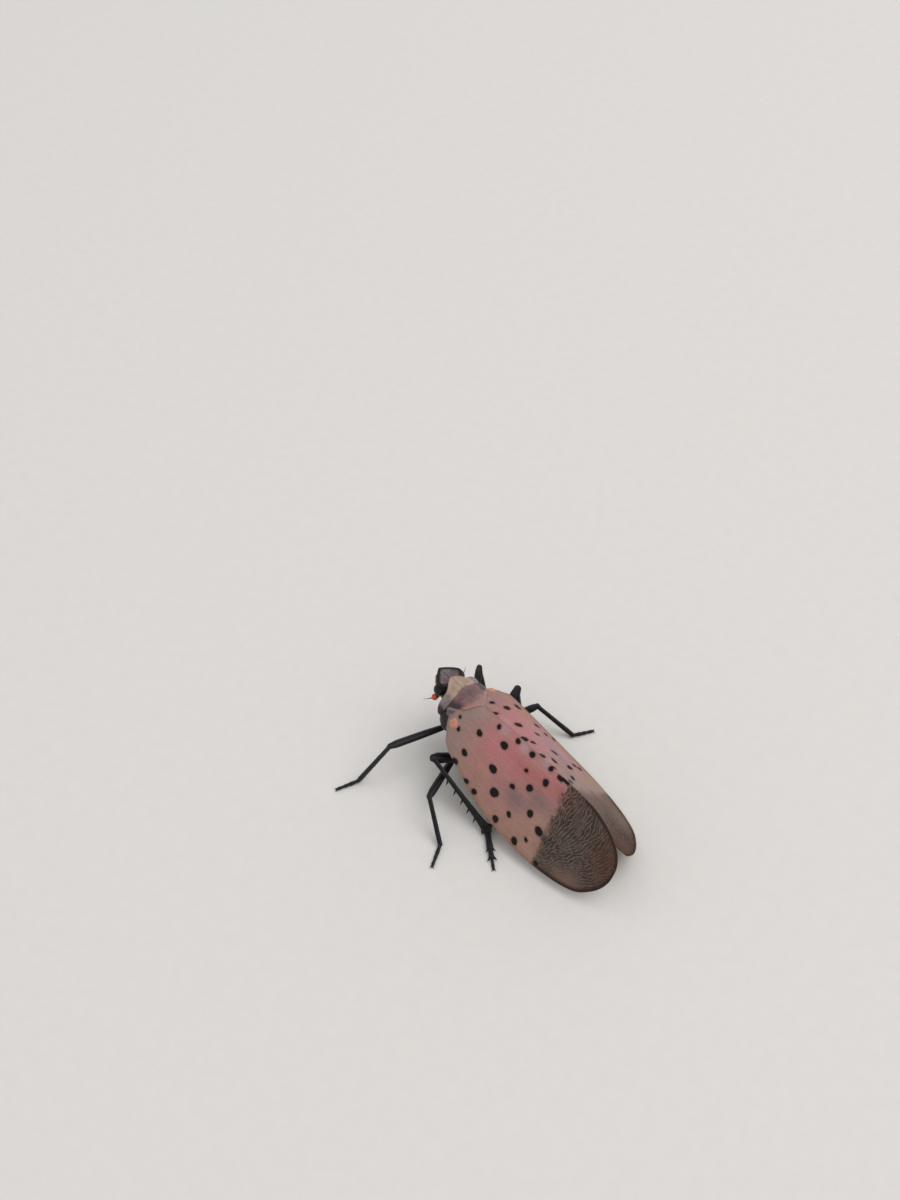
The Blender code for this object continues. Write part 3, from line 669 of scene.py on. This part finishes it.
# Soft colour areas as (along, across, half length, half width, strength)
AREAS = {
    "pink": ((7.2, 1.8, 3.6, 2.6, 1), (8.2, 4.4, 2.6, 2.2, 0.45), (11.8, 0.6, 2.2, 1.6, 0.9)),
    "red": ((9.9, 1.7, 2, 0.7, 0.55), (11.6, 1.9, 1.7, 0.8, 0.5), (13, 1.1, 0.8, 0.9, 0.5)),
    "grey": ((9.9, 4.4, 1.5, 0.9, 0.85), (11.9, 3, 1.4, 0.9, 0.8), (3.6, 0.9, 1.3, 1.1, 0.35)),
    "pale": ((8.45, 0.35, 0.5, 0.4, 0.8), (10.9, 0.1, 0.55, 0.4, 0.75), (12.95, 0.1, 0.4, 0.35, 0.8),
             (6.1, 0.4, 0.6, 0.45, 0.5), (3.4, 0.6, 0.8, 0.6, 0.35)),
    # Lilac is painted sheen, laid only on the right wing to pale it
    "lilac_sheen": ((9.5, 4, 3.5, 3, 0.45), (9.5, 5.4, 0.9, 0.8, 0.7), (11, 1, 0.8, 0.7, 0.6)),
    "maroon": ((13.8, 1.4, 0.9, 1.6, 0.9),),
    "brown": ((18.7, 3.2, 1.3, 2, 0.9),),
    "faint": ((16.8, 7.4, 1.6, 1.3, 0.35),),
}


def area_mask(areas, along, across):
    return np.max([
        strength * bell(np.hypot((along - a) / long, (across - t) / wide))
        for a, t, long, wide, strength in areas
    ], 0)


def wing_facts(wing, along, across, columns_share):
    """Everything that the wing's material and relief need, place by place."""
    facts = {name: area_mask(areas, along, across) for name, areas in AREAS.items()}
    lilac_sheen, faint = facts.pop("lilac_sheen"), facts.pop("faint")
    if wing.word == "left":
        blur, strength, net, edge = 0, 1, 1, 1
        # On the left wing sand is the wing's own tan near the root
        sand = 0.55 * ease(5.5, 2, along)
    else:
        # Painted sheen: this wing, seen nearly edge on, gets paler sand and lilac, less red, a weaker rim
        # and a softer net
        blur, strength, net, edge = 0.9, 0.6 + 0.34 * ease(13.6, 18, along), 0.85, 0.5
        sand = 0.85 * ease(10, 13.5, along)
        facts["red"] *= 0.35
        facts["pale"] = np.maximum(facts["pale"], lilac_sheen)
    wall, joint, chance = net_of_veins(along, across, NET_SEED)
    wander = along + 0.25 * ripples(along, across, 1.5, 24)
    zone = ease(NET_START - 0.6, NET_START + 0.4 + blur, wander)
    wander = along + 0.6 * (chance - 0.5) + 0.25 * ripples(along, across, 0.7, 25)
    dark = ease(NET_START - 0.3, NET_START + 0.3, wander)
    tip_share = ease(NET_START - 0.2, NET_START + 0.8, along)
    rim = wing.outline_distance(along, across)
    width = wing.outer_edge(along) - wing.inner_edge(along)
    bends = [0.012 * ripples(along, 0, 4, 30 + k) for k in range(len(MAIN_VEINS))]
    vein = np.min([np.abs(columns_share - share - bend) for share, bend in zip(MAIN_VEINS, bends)], 0)
    corner = ease(2.1, 1, along) * ease(3, 2.2, across)
    facts["brown"] += 0.45 * bell(rim / 0.7) * tip_share
    facts.update(
        along=along, across=across, wall=wall, joint=joint, vein=vein * width, sand=sand,
        spot=wing.spot_distance(along, across),
        net=zone * net * ease(0.1, 0.3, rim),
        dark=dark * zone * (strength - faint),
        rim=ease(0.42, 0.1, rim) * tip_share * edge,
        rust=0.7 * bell(rim / 0.3) * (1 - tip_share),
        root=np.maximum(corner, 0.4 * ease(5, 1.5, along)),
    )
    return facts


def build_forewing(wing):
    along = np.repeat(wing.rows()[:, None], WING_COLUMNS, 1)
    share = np.linspace(0, 1, WING_COLUMNS)[None]
    share = 0.5 * share + 0.5 * (1 - np.cos(math.pi * share)) / 2
    share = np.repeat(share, len(along), 0)
    near = wing.inner_edge(along)
    far = np.maximum(wing.outer_edge(along), near + 0.02)
    across = lerp(near, far, share)
    past_root = along - along[0, 0]
    along = along + SHOULDER * ease(2.2, 4.4, across) ** 2 * ease(2, 0, past_root)
    facts = wing_facts(wing, along, across, share)
    edge = np.minimum(share, 1 - share) * (far - near)
    body = ease(0, 0.25, np.minimum(edge, np.maximum(WING_LENGTH - along, 0.02) * 2))
    walls = ease(0.15, 0, facts["wall"]) + 0.4 * ease(0.1, 0.01, facts["joint"])
    relief = NET_RELIEF * facts["net"] * walls
    relief += VEIN_RELIEF * ease(0.13, 0.02, facts["vein"]) * (1 - 0.8 * facts["net"])
    relief += 0.03 * ripples(along, across, 2.4, 41) * body
    relief += 0.06 * bell((share - 1) * (far - near) / 0.16) * (1 - facts["net"])
    relief += 0.03 * bell(np.minimum(edge, WING_LENGTH - along) / 0.14) * facts["rim"]
    relief -= root_dip(past_root)
    top = wing.point(along, across, relief)
    under = wing.point(along, across, relief - WING_THICKNESS * lerp(0.45, 1, body))
    look = forewing_look(wing.word)
    make_sheet("forewing_" + wing.word, top, under, look, facts, fade=0.35)


def build_hindwing(wing, look):
    """The folded hindwing, with soft pleats, under its forewing."""
    rows, columns = 90, 60
    v, c = np.linspace(0, 1, rows)[:, None], np.linspace(0, 1, columns)[None]
    along = lerp(-5 - wing.start, 0.8 * WING_LENGTH, v) + 0 * c
    near = 0.75 + 1.1 * (1 - v) ** 6
    far = wing.outer_edge(along) - 1.1
    half = (far - near) / 2 * np.sqrt(np.maximum(1 - v**9, 0)) + 0.25 * v**9
    across = lerp(near, far, 0.5) + half * (2 * c - 1)
    lift = 0.05 * np.sin(c * TURN * 9) * ease(0, 0.2, v) - HINDWING_DROP
    spots = ((4.6, 2.2), (5.6, 3.6), (6.4, 1.7), (7.2, 4.6), (7.9, 2.9), (8.6, 5.3))
    spot = np.min([np.hypot(along - a, across - t) for a, t in spots], 0) - 0.3
    black = np.maximum(ease(11.8, 12.4, along), ease(0.05, -0.03, spot))
    facts = {"band": ease(9.8, 10.3, along) * ease(12.2, 11.6, along), "black": black}
    top, under = wing.point(along, across, lift), wing.point(along, across, lift - 0.08)
    make_sheet("hindwing_" + wing.word, top, under, look, facts)


def build_head():
    """A blunt wedge seen from above, with rims round its crown and two keels down its face."""
    levels = (3.75, 4.3, 5, 5.8, 6.6, 7.3, 7.75, 7.98, CROWN_TOP)
    half_widths = (0.34, 0.58, 0.8, 0.98, 1.16, 1.22, 1.24, 1.22, 1.14)
    fronts = (-9.7, -10.05, -10.4, -10.7, -10.86, HEAD_APEX, -10.9, -10.85, -10.74)
    backs = (-9.1, -8.95, *[HEAD_BACK] * 6, -8.95)
    rows, columns, crown_rows = 70, 120, 22
    z = smooth_steps(np.linspace(0, 1, len(levels)), levels, np.linspace(0, 1, rows))[:, None]
    half, front, back = read_tables(levels, z, half_widths, fronts, backs)
    c, s = np.cos(turns(columns, 0.5)), np.sin(turns(columns, 0.5))
    cheek = np.maximum(EYE_CENTRE[1], lerp(front, back, 0.6))
    ahead = s < 0
    wedge = lerp(1.75, 1.18, ease(7, 7.95, z))
    power_y = np.where(ahead, 2 / wedge, 2 / 3.5)
    power_x = np.where(ahead, 2 / lerp(2, wedge, ease(7, 7.9, z)), 2 / 3.5)
    x = half * signed_power(c, power_x)
    y = cheek + np.where(ahead, cheek - front, back - cheek) * signed_power(s, power_y)
    keel = bell((np.abs(x) - 0.42 * half) / 0.07) * ease(0.1, 0.5, -s)
    keel = keel * ease(4.6, 5.4, z) * ease(7.8, 7.5, z)
    rim = bell((z - 7.9) / 0.09)
    push = 0.05 * (keel + rim)
    x, y = x * (1 + push * 0.8), y - push * ease(-0.2, 0.6, -s)
    # The crown is closed by shrinking rings that dip a little inside the rim
    shrink = np.linspace(1, 0.03, crown_rows + 1)[1:, None]
    crown_x, crown_y = x[-1] * shrink, CROWN_MIDDLE + (y[-1] - CROWN_MIDDLE) * shrink
    ridge = bell(crown_x / 0.06)
    crown_z = CROWN_TOP - 0.17 * ease(0, 0.4, 1 - shrink) + 0.05 * ridge
    blush = bell(np.hypot((np.abs(crown_x) - 0.35) / 0.3, (crown_y + 9.45) / 0.3))
    facts = {
        "crown": np.concatenate([0 * x, ease(0.08, 0.26, 1 - shrink) + 0 * crown_x]),
        "keel": np.concatenate([np.maximum(keel, rim), 0.45 * ridge]),
        "blush": np.concatenate([0 * x, blush]),
    }
    rings = np.concatenate([join(x, y, z), join(crown_x, crown_y, crown_z)])
    make_loft("head", rings, head_look(), facts)


def build_eyes():
    """Two eggs whose poles lie along X."""
    pitch, angle = np.linspace(0.03, math.pi - 0.03, 36)[:, None], turns(48)
    egg = join(np.cos(pitch), np.sin(pitch) * np.cos(angle), np.sin(pitch) * np.sin(angle)) * EYE_RADII
    look = eye_look()
    for side, word in SIDES:
        make_loft("eye_" + word, egg + EYE_CENTRE * np.array((side, 1, 1)), look)


def frames_along(path, up):
    """Unit vectors along, across and over a path at each of its points."""
    forward = unit(np.gradient(path, axis=0))
    across = unit(np.cross(forward, up))
    return forward, across, np.cross(across, forward)


def tube_rings(path, radii, columns, up=LIMB_UP, ribs=0, flat=1):
    """Rings round a path; ribs raise three ridges, and flat squeezes the section."""
    _, across, over = frames_along(path, up)
    angle = turns(columns)[..., None]
    r = radii[:, None, None] * (1 + ribs * np.cos(3 * angle))
    return path[:, None] + r * (across[:, None] * np.cos(angle) + over[:, None] * np.sin(angle) * flat)


def rounded(start, end, stations, radii, rows):
    """The path and radii of a limb whose two ends are domes about its joints."""
    axis = end - start
    length = np.linalg.norm(axis)
    turn = np.linspace(0.08, math.pi / 2, 6)[:-1]
    body = np.linspace(0, length, rows)
    first, last = radii[0], radii[-1]
    places = np.concatenate([-first * np.cos(turn), body, length + last * np.cos(turn[::-1])])
    sizes = smooth_steps(np.asarray(stations) * length, radii, body)
    sizes = np.concatenate([first * np.sin(turn), sizes, last * np.sin(turn[::-1])])
    return start + np.outer(places, axis / length), sizes


def build_antennae():
    """A short foot, a swollen second joint and a long thin bristle, under each eye."""
    knots = [(0.95, -9.74, 6.2), (1.2, -9.76, 6.16), (1.36, -9.79, 6.18), (1.52, -9.82, 6.2)]
    knots += [(1.7, -9.87, 6.22), (1.84, -9.92, 6.24), (2.15, -10.05, 6.3), (2.5, -10.25, 6.4)]
    path, radii, run = smooth_path(knots, (0.15, 0.16, 0.22, 0.29, 0.26, 0.06, 0.026, 0.012), 64)
    facts = {"bristle": ease(0.66, 0.74, run)[:, None]}
    look = antenna_look()
    for side, word in SIDES:
        rings = tube_rings(path * np.array((side, 1, 1)), radii, 24)
        make_loft("antenna_" + word, rings, look, facts)


def build_collar():
    """The pronotum, a saddle round the back of the head, with a keel and a thin raised hem."""
    rows, columns = 90, 64
    u = np.sin(np.linspace(-1, 1, rows) * math.pi / 2)[:, None]
    reach = np.abs(u)
    front = COLLAR_FRONT + 0.5 * ease(0, 0.42, reach) + 0.04 * reach**2
    back = COLLAR_BACK - 0.6 * ease(0.35, 0.9, reach) - 0.1 * bell(u / 0.14)
    top = COLLAR_TOP - 1.3 * reach**2.2 - 0.7 * reach**6
    bottom = COLLAR_BOTTOM + 1.1 * reach**2
    half_length, half_height = (back - front) / 2, (top - bottom) / 2
    shrink = np.sqrt(np.clip(1 - ((reach - 0.86) / 0.14).clip(0, 1) ** 2, 0.01, 1))
    y, z = superellipse(half_length * shrink, half_height * shrink, 3.4, columns)
    behind, over = y / half_length, z / half_height
    topside = ease(0.35, 0.8, over)
    keel = bell(u / 0.02) * topside * ease(-0.85, -0.5, behind)
    hem = topside * (ease(0.74, 0.84, behind) + 0.6 * ease(0.8, 0.9, -behind))
    dimple = bell(np.hypot((reach - 0.3) / 0.12, (behind + 0.1) / 0.4)) * topside
    z = (top + bottom) / 2 + z + 0.05 * keel + 0.035 * hem - 0.07 * dimple
    # In the middle its front edge is a thin shelf that lies over the back of the crown
    shelf = ease(0.55, 0.28, reach) * ease(0.3, 0.75, -behind) * ease(0, 0.3, over)
    z = lerp(z, COLLAR_TOP + 0.06 - 0.5 * u**2, shelf)
    # Painted shade: a dark line at the middle of the hind edge, where it steps onto the mesonotum
    hind_shade_line = topside * ease(0.84, 0.94, behind) * ease(0.6, 0.4, reach)
    facts = {
        "lobe": ease(0.42, 0.62, reach + 0.05 * ripples(behind, over, 1.3, 51)),
        "keel": np.maximum(keel * 0.75, 0.25 * dimple) + 0.6 * hind_shade_line,
        "hem": topside * ease(0.8, 0.95, behind) * ease(0.35, 0.6, reach) * 0.8,
        # Painted shade: black on the lower side and at the lateral ends
        "under": np.maximum(ease(0.45, -0.1, over), ease(0.8, 0.93, reach)),
    }
    rings = join(u * COLLAR_HALF_WIDTH, (front + back) / 2 + y, z)
    make_loft("pronotum", rings, collar_look(), facts)


def build_shield():
    """The mesonotum: three fine keels, and skirts that run down to the thorax at its front."""
    v, u = np.linspace(0, 1, 70)[:, None], np.linspace(-1.3, 1.3, 91)[None]
    inner, beside = np.clip(u, -1, 1), np.abs(u)
    skirt = (beside - 1).clip(0, None) * ease(0.62, 0.3, v)
    half = smooth_steps((0, 0.25, 0.52, 0.78, 1), (SHIELD_HALF_WIDTH, 1.78, 1.48, 0.78, 0.14), v)
    x = inner * half + np.sign(u) * skirt * 1.5
    y = lerp(SHIELD_FRONT + 0.1 * np.abs(inner) ** 1.5, SHIELD_TIP, v)
    crown = 0.16 * np.sin(math.pi * v) + 0.21 * ease(0.6, 1, v) - 0.16 * ease(0.1, 0, v)
    keel = bell(x / 0.05) + bell((np.abs(x) - 0.75 * half) / 0.06)
    z = SHIELD_TOP + crown - (np.abs(x) / SHIELD_HALF_WIDTH) ** 2 - skirt * 3
    z = z + 0.04 * keel * ease(0.05, 0.2, v) * ease(1, 0.85, v)
    top = join(x, y, z)
    rear = v + 0.12 * np.abs(inner) + 0.04 * ripples(x * 2, y * 2, 1.5, 61)
    lines = bell((beside - 0.97) / 0.03) + bell((beside - 0.84) / 0.03) + 0.6 * bell((beside - 0.7) / 0.03)
    facts = {
        "corner": ease(0.55, 0.85, beside) * ease(0.6, 0.38, v),
        "rear": 0.8 * ease(0.5, 0.85, rear),
        "line": lines * ease(0.42, 0.58, v) * ease(0.95, 0.82, v) * 0.9,
        "side": ease(1.03, 1.1, beside),
        "hem": bell((beside - 1) / 0.035) * ease(0.6, 0.45, v),
    }
    make_sheet("mesonotum", top, top - UP * SHIELD_THICKNESS, shield_look(), facts)


def build_thorax():
    """The thorax with the neck in front of it and the waist behind, in one piece."""
    stations = (-9.5, -8.9, -8.3, -7.7, -7, -6.4, -5.7, -5, -4.4, -3.9)
    halves = (0.5, 1.4, 2.4, 2.62, 2.5, 2.3, 2.1, 1.75, 1.45, 1.2)
    tops = (6.7, 6.7, 6.7, 6.8, 7.1, 7.15, 6.85, 6.3, 5.8, 5.4)
    bottoms = (5, 4.4, 4, 3.5, 3.2, 2.95, 2.75, 2.7, 2.8, 3)
    y = np.linspace(stations[0], stations[-1], 80)[:, None]
    half, top, bottom = read_tables(stations, y, halves, tops, bottoms)
    x, z = superellipse(half, (top - bottom) / 2, 2.5, 72)
    # Shallow seams between the plates run round the sides
    seam = bell((y + 6.75 + 0.2 * z) / 0.07) + bell((y + 5.5 + 0.25 * z) / 0.07)
    shrink = 1 - 0.05 * seam + 0.015 * ripples(y, z, 1.1, 71)
    rings = join(x * shrink, y, (top + bottom) / 2 + z * shrink)
    make_loft("thorax", rings, thorax_look())


def build_tegulae():
    """Flat rounded scales that lie flush on the roots of the forewings."""
    rise, fall = 24, 12
    angle, look = turns(48), tegula_look()
    out = np.concatenate([np.linspace(0.03, 1, rise), np.linspace(0.97, 0.03, fall)])[:, None]
    on_top = np.arange(rise + fall)[:, None] < rise
    reach = TEGULA_REACH * out * (1 + 0.07 * np.cos(4 * angle + 0.6) + 0.04 * np.sin(3 * angle))
    for wing in WINGS:
        along, across = wing.tegula[0] + reach * np.cos(angle), wing.tegula[1] + reach * np.sin(angle)
        lift = np.where(on_top, 0.08 * (1 - out**2) ** 1.3 - 0.01, -0.1)
        lift = lift - root_dip(along - ROOT_Y + wing.start)
        facts = {"edge": ease(0.7, 1, out + 0.06 * ripples(along, across, 0.5, 91))}
        rings = wing.point(along, across, lift)
        make_loft("tegula_" + wing.word, rings, look, facts)


def build_abdomen():
    """Overlapping rings, each with a black band."""
    stations = (0, 0.1, 0.3, 0.5, 0.7, 0.85, 0.95, 1)
    widths = (1.35, 1.65, 1.75, 1.68, 1.4, 1, 0.62, 0.3)
    tops = (5.45, 5.45, 5.3, 5.05, 4.65, 4.25, 3.95, 3.7)
    bottoms = (3, 2, 1.6, 1.5, 1.65, 1.95, 2.4, 2.8)
    v = np.linspace(0, 1, 128)[:, None]
    half, top, bottom = read_tables(stations, v, widths, tops, bottoms)
    share = (v * ABDOMEN_RINGS) % 1
    swell = 0.09 * share * ease(1, 0.9, share) - 0.04
    x, z = superellipse(half + swell, (top - bottom) / 2 + swell, 2.1, 64)
    share = share + 0.12 * ripples(x, v * 9, 0.8, 81)
    band = ease(0.28, 0.36, share) * ease(0.78, 0.7, share)
    flank = 1 - 0.85 * bell((np.abs(x) / np.maximum(half, 0.2) - 0.98) / 0.12)
    rings = join(x, lerp(-4.25, 4.9, v), (top + bottom) / 2 + z)
    make_loft("abdomen", rings, abdomen_look(), {"band": band * flank})


def build_rostrum(look):
    """The beak: three joints that lie back between the legs."""
    knots = [(0, -9.5, 3.95), (0, -9.3, 3.1), (0, -8.7, 2.45)]
    knots += [(0, -7.7, 1.8), (0, -6.4, 1.35), (0, -4.7, 1.1)]
    path, radii, run = smooth_path(knots, (0.3, 0.27, 0.25, 0.22, 0.18, 0.07), 70)
    radii = radii * (1 - 0.14 * bell((run - 0.36) / 0.015) - 0.14 * bell((run - 0.7) / 0.015))
    facts = {"joint": bell((run - 0.36) / 0.03)[:, None], "ridge": 0}
    make_loft("rostrum", tube_rings(path, radii, 24, up=(1, 0, 0)), look, facts)


# Leg joints: the coxa's root, trochanter and knee, then the ankle and the foot's tip from above
LEG_JOINTS = {
    "front_left": ((1.15, -8.25, 4.4), (1.65, -8.5, 3.2), (6.95, -9.75, 4.2), (9.8, -11.15), (11.9, -11.9)),
    "front_right": ((-1.15, -8.25, 4.4), (-1.65, -8.5, 3.2), (-4, -10.2, 5), (-4.1, -9.45), (-4.25, -11.6)),
    "middle_left": ((1.2, -6.75, 2.75), (2, -6.7, 1.5), (7.25, -4.4, 2.6), (8.85, -1.4), (10.8, -0.3)),
    "middle_right": ((-1.2, -6.75, 2.75), (-2, -6.75, 1.45), (-5.95, -4.8, 2.6), (-7.15, -1.5),
                     (-8.95, -0.55)),
    "hind_left": ((1, -5.2, 2.5), (1.4, -5.4, 1.45), (4.95, -6.35, 4), (5.05, 0.35), (7.2, 3.5)),
    "hind_right": ((-1, -5.2, 2.5), (-1.4, -5.4, 1.45), (-5.2, -6.55, 4.2), (-1.8, -1.7), (-2.4, 1.75)),
}


class Heap:
    """Points, faces and facts of many closed shapes that end up in one piece."""

    def __init__(self, *fact_names):
        self.points, self.faces, self.count = [], [], 0
        self.facts = {name: [] for name in fact_names}
        self.patches = []

    def add_tube(self, rings, **facts):
        self.points.append(loft_points(rings))
        self.faces += [[index + self.count for index in face] for face in loft_faces(*rings.shape[:2])]
        self.count += len(self.points[-1])
        for name, values in self.facts.items():
            given = np.broadcast_to(facts.get(name, 0), rings.shape[:2])
            values.append(np.append(given, (given[0, 0], given[-1, 0])))

    def add_spike(self, root, direction, length, radius, sides=6, curve=0):
        """A thin cone in three steps that may curl downwards."""
        steps = np.array((0, 0.35, 0.7, 1))
        path = root + np.outer(steps * length, direction) - np.outer(curve * steps**2, UP)
        side_on = (0.31, 0.22, 1) if abs(direction[2]) < 0.9 else (1, 0.2, 0.1)
        self.add_tube(tube_rings(path, radius * np.array((1, 0.72, 0.38, 0.04)), sides, up=side_on))

    def make(self, name, look, nodes=()):
        facts = {fact: np.concatenate(values) for fact, values in self.facts.items()}
        return make_piece(name, np.concatenate(self.points), self.faces, look, nodes, facts)


def add_limb(heap, start, end, stations, radii, ribs=0.05, rows=34, columns=22, joint=0.5, ridge_highlight=1):
    """A limb from joint to joint, with a painted highlight along its ribs; gives its path and radii."""
    path, sizes = rounded(start, end, stations, radii, rows)
    run = np.linspace(0, 1, len(sizes))[:, None]
    # Painted highlight, grey on the three ribs
    ridge = ease(0.75, 1, np.cos(3 * turns(columns))) * 0.36 * ridge_highlight
    near_joint = np.clip(joint * (bell(run / 0.05) + bell((run - 1) / 0.05)), 0, 1)
    heap.add_tube(tube_rings(path, sizes, columns, ribs=ribs), ridge=ridge, joint=near_joint)
    return path, sizes


def strew_bristles(bristles, path, sizes, count, draw, band):
    """Short hairs that lean along a limb, with a patch of texture at each hair's own place."""
    forward, across, over = frames_along(path, LIMB_UP)
    for _ in range(count):
        share = draw.uniform(0.08, 0.94)
        k = int(share * (len(path) - 1))
        angle = draw.uniform(0, TURN)
        outward = across[k] * math.cos(angle) + over[k] * math.sin(angle)
        root = path[k] + outward * sizes[k] * 0.86
        lean = unit(outward + forward[k] * draw.uniform(0.7, 1.4))
        if (root + lean * BRISTLE_LENGTH)[2] < 0.03:
            continue
        bristles.add_spike(root, lean, BRISTLE_LENGTH * draw.uniform(0.6, 1.1), 0.011, sides=4)
        bristles.patches.append(((band + angle / TURN) / len(LEG_JOINTS), share))


def build_leg(word, joints, look, bristles, band):
    """One leg in one piece: coxa, femur, tibia and the three joints of the foot."""
    root, trochanter, knee = (np.array(joint, float) for joint in joints[:3])
    hind = word.startswith("hind")
    ankle = np.array((*joints[3], 0.46 if hind else 0.3))
    heap = Heap("ridge", "joint")
    inward = unit(trochanter - root)
    add_limb(heap, root - inward * 0.3, trochanter, (0, 0.4, 0.8, 1), (0.42, 0.44, 0.36, 0.25))
    thigh = (0.24, 0.36, 0.44, 0.46, 0.34) if hind else (0.2, 0.27, 0.33, 0.34, 0.25)
    femur = add_limb(heap, trochanter, knee, (0, 0.1, 0.5, 0.86, 1), thigh, ribs=0.07)
    shin = (0.21, 0.19, 0.21, 0.3, 0.43) if hind else (0.2, 0.19, 0.2, 0.21, 0.2)
    # The hind legs get a stronger painted highlight
    ridge_highlight = 2.4 if hind else 1
    tibia = add_limb(heap, knee, ankle, (0, 0.12, 0.5, 0.85, 1), shin, ribs=0.08, ridge_highlight=ridge_highlight)
    if hind:
        arm_tibia(heap, knee, ankle)
    add_foot(heap, ankle, np.array((*joints[4], 0.13)), hind)
    nodes = [segment + "_" + word for segment in ("coxa", "femur", "tibia", "tarsus")]
    heap.make("leg_skin_" + word, look, nodes)
    draw = np.random.default_rng(100 + band)
    strew_bristles(bristles, *femur, 170, draw, band)
    strew_bristles(bristles, *tibia, 230, draw, band)


def arm_tibia(heap, knee, ankle):
    """Spines down the outer side of a hind tibia, and a crown of them round its end."""
    along = unit(ankle - knee)
    outward = np.array((math.copysign(1, knee[0]), 0, 0))
    outward = unit(outward - along * outward.dot(along))
    above = np.cross(along, outward)
    for k, share in enumerate(TIBIA_SPINES):
        root = lerp(knee, ankle, share) + outward * 0.13
        heap.add_spike(root, unit(outward + along * 0.5), 0.54 + 0.03 * k, 0.12)
    for angle in turns(CROWN_SPINES, 0.5)[0]:
        around = outward * math.cos(angle) + above * math.sin(angle)
        root, lean = lerp(knee, ankle, 0.96) + around * 0.26, unit(along * 1.1 + around)
        if root[2] > 0.18 and (root + lean * CROWN_SPINE_LENGTH)[2] > 0.02:
            heap.add_spike(root, lean, CROWN_SPINE_LENGTH, 0.15)


def add_foot(heap, ankle, tip, hind):
    """Three tarsal joints on the floor, two claws and a soft lobe; a hind foot has spines too."""
    start = ankle * LEVEL + UP * 0.24
    step = tip - start
    ahead = unit(step * LEVEL)
    across = np.cross(ahead, UP)
    shares, heights, radii = HIND_FOOT if hind else FOOT
    ends = np.array(shares) * (np.linalg.norm(step) - CLAW_REACH)
    spots = [(start + ahead * end) * LEVEL + UP * height for end, height in zip(ends, heights)]
    for k, radius in enumerate(radii):
        sizes = radius * np.array((0.93, 0.92, 1.06, 1))
        add_limb(heap, *spots[k:k + 2], (0, 0.5, 0.9, 1), sizes, ribs=0.03, rows=16, columns=18, joint=0.4)
        if k < 2 and hind:
            for side in (1, -1):
                lean = unit(ahead * 1.1 + across * side)
                heap.add_spike(spots[k + 1] + across * side * 0.12, lean, 0.46, 0.14)
    end = spots[-1]
    for side in (1, -1):
        lean = unit(ahead + across * side * 0.55 + UP * 0.1)
        heap.add_spike(end, lean, CLAW_REACH + 0.12, 0.065, curve=0.13)
    lobe = rounded(end, end + ahead * 0.2, (0, 1), (0.09, 0.1), rows=8)
    heap.add_tube(tube_rings(*lobe, 14, flat=0.7), joint=1)


def build_legs(look, hair_look):
    bristles = Heap()
    for band, (word, joints) in enumerate(LEG_JOINTS.items()):
        build_leg(word, joints, look, bristles, band)
    lay_patches(bristles.make("leg_bristles", hair_look), bristles.patches)


def lay_patches(piece, patches):
    """A map on which each hair is a small patch at its own root's place."""
    layer = piece.data.uv_layers.new(name="OFBake")
    per_hair = len(piece.data.vertices) // len(patches)
    vertex = np.array([loop.vertex_index for loop in piece.data.loops])
    corner = vertex % per_hair
    offset = 0.0015 * np.stack([np.cos(corner), np.sin(corner)], -1)
    centre = np.array(patches)[vertex // per_hair]
    layer.data.foreach_set("uv", np.clip(centre + offset, 0, 1).astype(np.float32).ravel())


def build_floor():
    mesh = bpy.data.meshes.new("floor")
    corners = [(x * FLOOR_HALF, y * FLOOR_HALF, 0) for x, y in ((-1, -1), (1, -1), (1, 1), (-1, 1))]
    mesh.from_pydata(corners, [], [(0, 1, 2, 3)])
    look = Look("floor_paper", roughness=0.8, specular=0.2)
    paper = look.blend(look.noise(1.2), 0.3, 0.7, (230, 226, 221), (232, 228, 223))
    look.feed(look.shader.inputs["Base Color"], paper)
    look.bump((look.noise(0.5, 2), 0.01))
    mesh.materials.append(look.material)
    add_object("floor", mesh)


def build_studio():
    """A soft square light that faces the insect, and an even pale sky."""
    build_floor()
    lamp = bpy.data.lights.new("key_light", "AREA")
    lamp.size, lamp.energy = 0.8, 4.2
    made = add_object("key_light", lamp)
    made.location = KEY_LIGHT
    made.rotation_mode = "QUATERNION"
    made.rotation_quaternion = (-Vector(KEY_LIGHT)).to_track_quat("-Z", "Y")
    world = bpy.data.worlds.new("studio")
    world.use_nodes = True
    back = world.node_tree.nodes["Background"]
    back.inputs["Color"].default_value = (0.97, 0.98, 1, 1)
    back.inputs["Strength"].default_value = 0.62
    bpy.context.scene.world = world
    bpy.context.scene.view_settings.view_transform = "Standard"


def build_camera():
    data = bpy.data.cameras.new("camera")
    data.lens, data.sensor_width = CAMERA_LENS, 36
    data.clip_start, data.clip_end = 0.005, 5
    camera = add_object("camera", data)
    eye, target = Vector(place(CAMERA_EYE)), Vector(place(CAMERA_TARGET))
    turn = (target - eye).to_track_quat("-Z", "Y").to_matrix()
    turn = turn @ Matrix.Rotation(math.radians(CAMERA_ROLL), 3, "Z")
    camera.matrix_world = Matrix.Translation(eye) @ turn.to_4x4()
    bpy.context.scene.camera = camera


def main():
    hindwing = hindwing_look()
    for wing in WINGS:
        build_forewing(wing)
        build_hindwing(wing, hindwing)
    for build in (build_head, build_eyes, build_antennae, build_collar, build_shield, build_thorax,
                  build_tegulae, build_abdomen):
        build()
    leg = leg_look()
    build_rostrum(leg)
    build_legs(leg, bristle_look())
    build_studio()
    build_camera()


main()
